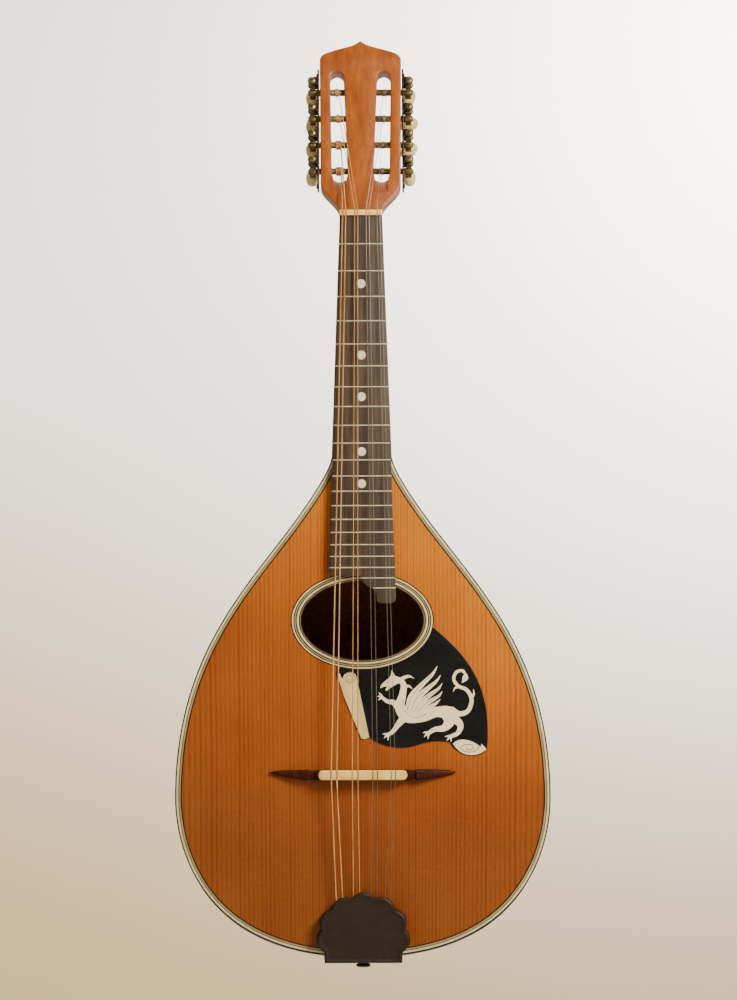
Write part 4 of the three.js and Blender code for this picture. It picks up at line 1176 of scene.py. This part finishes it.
def make_worm(label, side, i, height):
    """The shaft with a right-handed thread and a domed cap in front. The button behind is made on its own.
    """
    back = worm_place(side, height) @ BACKWARD
    shaft = ((0, -1.7), (1.2, -1.68), (2, -1.4), (2.4, -0.9), (2.4, -0.1), (2.2, 0.1), (1.15, 0.12),
             (1.15, 35.5), (0, 35.5))
    shape = Shape().turned(shaft, 32, place=back)
    shape.turned([(1.1, 1.6), (1.5, 1.8), (1.5, 9.2), (1.1, 9.4)], 24, place=back)
    lead, turns, per_turn = 1.97, 3.7, 28
    rows = []
    for step in range(int(turns * per_turn) + 1):
        angle = 2 * pi * step / per_turn
        rise = 1.9 + lead * step / per_turn
        fade = min(1, step / 10, (turns * per_turn - step) / 10)
        crest = 1.45 + 0.7 * fade
        rows.append([(r * cos(angle), r * sin(angle), rise + dz)
                     for r, dz in ((1.35, -0.62), (crest, -0.2), (crest, 0.2), (1.35, 0.62))])
    shape.solid(rows, place=back)
    # A dark bar across the cap: painted shade of its slot.
    slot_shade_bar(shape, 1.3, 0.25, -1.74, -1.5, back @ rotation(40 * i))
    stand_in(f"worm_{label}_{i}", shape, [BRASS, DARK_STRIP_AND_SLOT_SHADE], 38, f"key_{label}_{i}")


BUTTON_TURNS = {"left": (5, -12, 8, -6), "right": (-8, 58, 74, 20)}  # in degrees, tuned


def make_button(label, side, i, height):
    """A smooth flat oval with a small collar where the shaft goes in."""
    centre = worm_place(side, height) @ rotation(BUTTON_TURNS[label][i - 1], "Y")
    thick, long, deep, middle_y = 4.2, 6.2, 5.5, 38.5
    rows = []
    for a in steps(24, -pi / 2, pi / 2):
        row = []
        for b in steps(36, 0, 2 * pi)[:-1]:
            x = thick * cos(a) ** 0.85 * copysign(abs(cos(b)) ** 0.9, cos(b))
            z = long * cos(a) ** 0.8 * sin(b)
            row.append((x, middle_y + deep * sin(a), z))
        rows.append(row)
    shape = Shape().grid(rows, closed=True, place=centre)
    shape.turned([(0, 32.2), (1.7, 32.2), (2, 32.6), (2.1, 33.4), (2.6, 34.2), (0, 34.4)], 28,
                 place=centre @ BACKWARD)
    stand_in(f"button_{label}_{i}", shape, [BUTTON_IVORY], 60, f"key_{label}_{i}")


def make_tuners():
    """Both rows of four. Each post turns by its own worm and button."""
    for label, side in (("left", -1), ("right", 1)):
        make_tuner_plate(label, side)
        for i, height in enumerate(tuner_heights(), 1):
            make_post(label, side, i, height)
            make_worm(label, side, i, height)
            make_button(label, side, i, height)


# ---- strings ----
def make_string(name, radius, nut, saddle, hook, tuner, post):
    """From its loop on a hook over the saddle and the nut to its post, which it winds round."""
    hook_y = -3.6
    start = TAIL @ Vector((hook, hook_y, -89))
    loop = [TAIL @ Vector((hook + 1.05 * sin(a), hook_y, -90.45 + 1.25 * cos(a)))
            for a in steps(18, 2 * pi, 0.3)]
    line = [start, Vector((saddle, SADDLE_STRING_Y + 0.25, BRIDGE_Z - 3.4)),
            Vector((saddle, SADDLE_STRING_Y, BRIDGE_Z + 3.4))]
    line += [Vector((nut, NUT_STRING_Y, z)) for z in (-0.5, NUT_LENGTH + 0.5)]
    clear = 0.05  # between turns, and between the turns and the post
    wrap, per_turn, turns = POST_RADIUS + clear + radius, 20, 3.25
    height = TUNER_FIRST + tuner * TUNER_PITCH
    for step in range(int(per_turn * turns) + 1):
        turn = step / per_turn
        angle = 2 * pi * turn
        x = post + copysign(turn * (2 * radius + clear), post)
        round_post = Vector((x, TUNER_DEPTH - wrap * cos(angle), height + wrap * sin(angle)))
        line.append(HEAD @ round_post)
    core = min(radius, 0.3)  # a wound string's loop and twist show its thinner core
    shape = Shape().tube(line, radius, 10).tube(loop, core, 8)
    twists, twisted, quick = 60, 0.2, 1.3  # its points, its share of the way to the saddle, its turning
    twist = []
    for i in range(twists + 1):
        reach = start.lerp(line[1], i / twists * twisted)
        twist.append(reach + 1.25 * radius * Vector((cos(i * quick), sin(i * quick), 0)))
    shape.tube(twist, core * 0.8, 6)
    surface, slot = (BRONZE_WIRE, "wound_string") if radius > 0.25 else (STEEL_WIRE, "plain_string")
    stand_in(f"string_{name}", shape, [surface], 60)


def finish_inner_parts():
    """The parts inside the body keep their CAD shapes."""
    for name in ("neck_block", "tail_block", "lining_left", "lining_right",
                 "brace_upper", "brace_lower", "brace_bridge"):
        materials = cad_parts[name].data.materials
        materials.clear()
        materials.append(INNER_WOOD.material)


for make in (make_bowl, make_clasp, make_soundboard, make_binding, make_rosette, make_pickguard, make_head,
             make_neck, make_fingerboard, make_frets, make_dots, make_nut, make_bridge, make_saddle,
             make_tailpiece_base, make_cover, make_strap_button, make_tuners):
    make()
for string in STRINGS:
    make_string(*string)
finish_inner_parts()


# ---- studio ----
def paper():
    """Pale paper with painted shade: darker and more tan at the lower left of the wall behind the object.
    """
    white, shade_tone, metres, low = 0xEEE9E0, 0xD8BC90, (0.001,) * 3, 2.6
    s = Surface("paper", Roughness=0.9, Specular_IOR_Level=0.1)
    x, y, z = s.add("SeparateXYZ", {0: s.place(metres)}).outputs
    across = s.maths("MAXIMUM", s.maths("MINIMUM", x, 1.5), -1.5)
    slope = s.maths("ADD", s.maths("MULTIPLY", across, 0.3), z)
    mottled = s.maths("ADD", slope, s.maths("MULTIPLY", s.noise(metres), 0.3))
    rise = s.maths("MULTIPLY", s.maths("ADD", mottled, low), 1 / low)
    # Painted shade on the wall: darker and more tan at its lower left, white at the top right.
    painted_shade = s.ramp(rise, [(0, white), (0.3, shade_tone), (0.615, shade_tone), (0.79, 0xE0CFB2), (1, white)])
    far = s.ramp(s.maths("MULTIPLY", y, 0.1), [(0.7, 0.0), (0.9, 1.0)])
    return s.use(s.mix(far, rgb(white), painted_shade))


def make_stage():
    """A round pale floor that curves up, far from the object, into a pale backdrop all round."""
    floor_z, top_z, reach, middle_y, bend = -3200, 9000, 10750, -1250, 900
    cove = arc((reach - bend, floor_z + bend), (bend, bend), -pi / 2, 0, 24)
    path = [(1, floor_z), *cove, (reach, top_z)]
    rows = [[(r * cos(a), middle_y + r * sin(a), z) for a in steps(160, 0, 2 * pi)[:-1]]
            for r, z in path]
    shape = Shape().grid(rows, closed=True)
    mesh = bpy.data.meshes.new("backdrop")
    mesh.from_pydata([p * MM for p in shape.points], [], shape.faces)
    mesh.shade_smooth()
    mesh.materials.append(paper().material)
    backdrop = bpy.data.objects.new("backdrop", mesh)
    bpy.context.collection.objects.link(backdrop)


def make_light(name, place, size, power, colour, target=(0, 0, -0.25)):
    """A round soft light. It only shines forwards, at its target."""
    data = bpy.data.lights.new(name, "AREA")
    data.shape = "DISK"
    data.size = size
    data.energy = power
    data.color = colour
    light = bpy.data.objects.new(name, data)
    light.visible_camera = False
    light.location = place
    light.rotation_euler = (Vector(target) - Vector(place)).to_track_quat("-Z", "Y").to_euler()
    bpy.context.collection.objects.link(light)


def make_overhead():
    """Even light straight down, for the floor."""
    data = bpy.data.lights.new("overhead", "SUN")
    data.energy = 1.7
    data.angle = radians(20)
    data.color = (1.0, 0.985, 0.96)
    bpy.context.collection.objects.link(bpy.data.objects.new("overhead", data))


def make_world():
    """A faint even light from all round."""
    world = bpy.data.worlds.new("studio")
    world.use_nodes = True
    sky = world.node_tree.nodes["Background"].inputs
    sky["Color"].default_value = (0.93, 0.91, 0.88, 1)
    sky["Strength"].default_value = 0.15
    bpy.context.scene.world = world


def make_camera():
    """Straight in front of the top, with the whole length in view."""
    away, seen, sensor = 5.0, 0.631, 36
    data = bpy.data.cameras.new("camera")
    data.sensor_width = sensor
    data.lens = sensor * away / seen
    data.clip_end = 100
    camera = bpy.data.objects.new("camera", data)
    camera.location = (0.0042, -away, -0.1795)
    camera.rotation_euler = (pi / 2, radians(0.2), 0)
    bpy.context.collection.objects.link(camera)
    bpy.context.scene.camera = camera


make_stage()
make_light("key", (0.62, -0.7, 0.22), 0.4, 20, (1.0, 0.975, 0.94))
make_light("fill", (-1.3, -1.2, 0.3), 1.2, 3, (1.0, 0.95, 0.88))
make_light("rear", (-1.3, 1.7, 1.0), 1.2, 26, (1.0, 0.97, 0.93))
make_light("rear_low", (1.5, 1.5, -0.7), 1.2, 12, (1.0, 0.97, 0.93))
make_light("wall_right", (0.95, 8.5, 0.7), 0.6, 112, (1.0, 0.995, 0.985), target=(0.85, 9.5, 0.6))
make_light("wall_left", (-0.75, 7.9, 0.45), 0.8, 34, (1.0, 0.96, 0.9), target=(-0.7, 9.5, 0.4))
make_light("wall_low", (-0.4, 7.8, -0.9), 0.8, 7, (1.0, 0.84, 0.62), target=(-0.4, 9.5, -0.9))
make_overhead()
make_world()
make_camera()
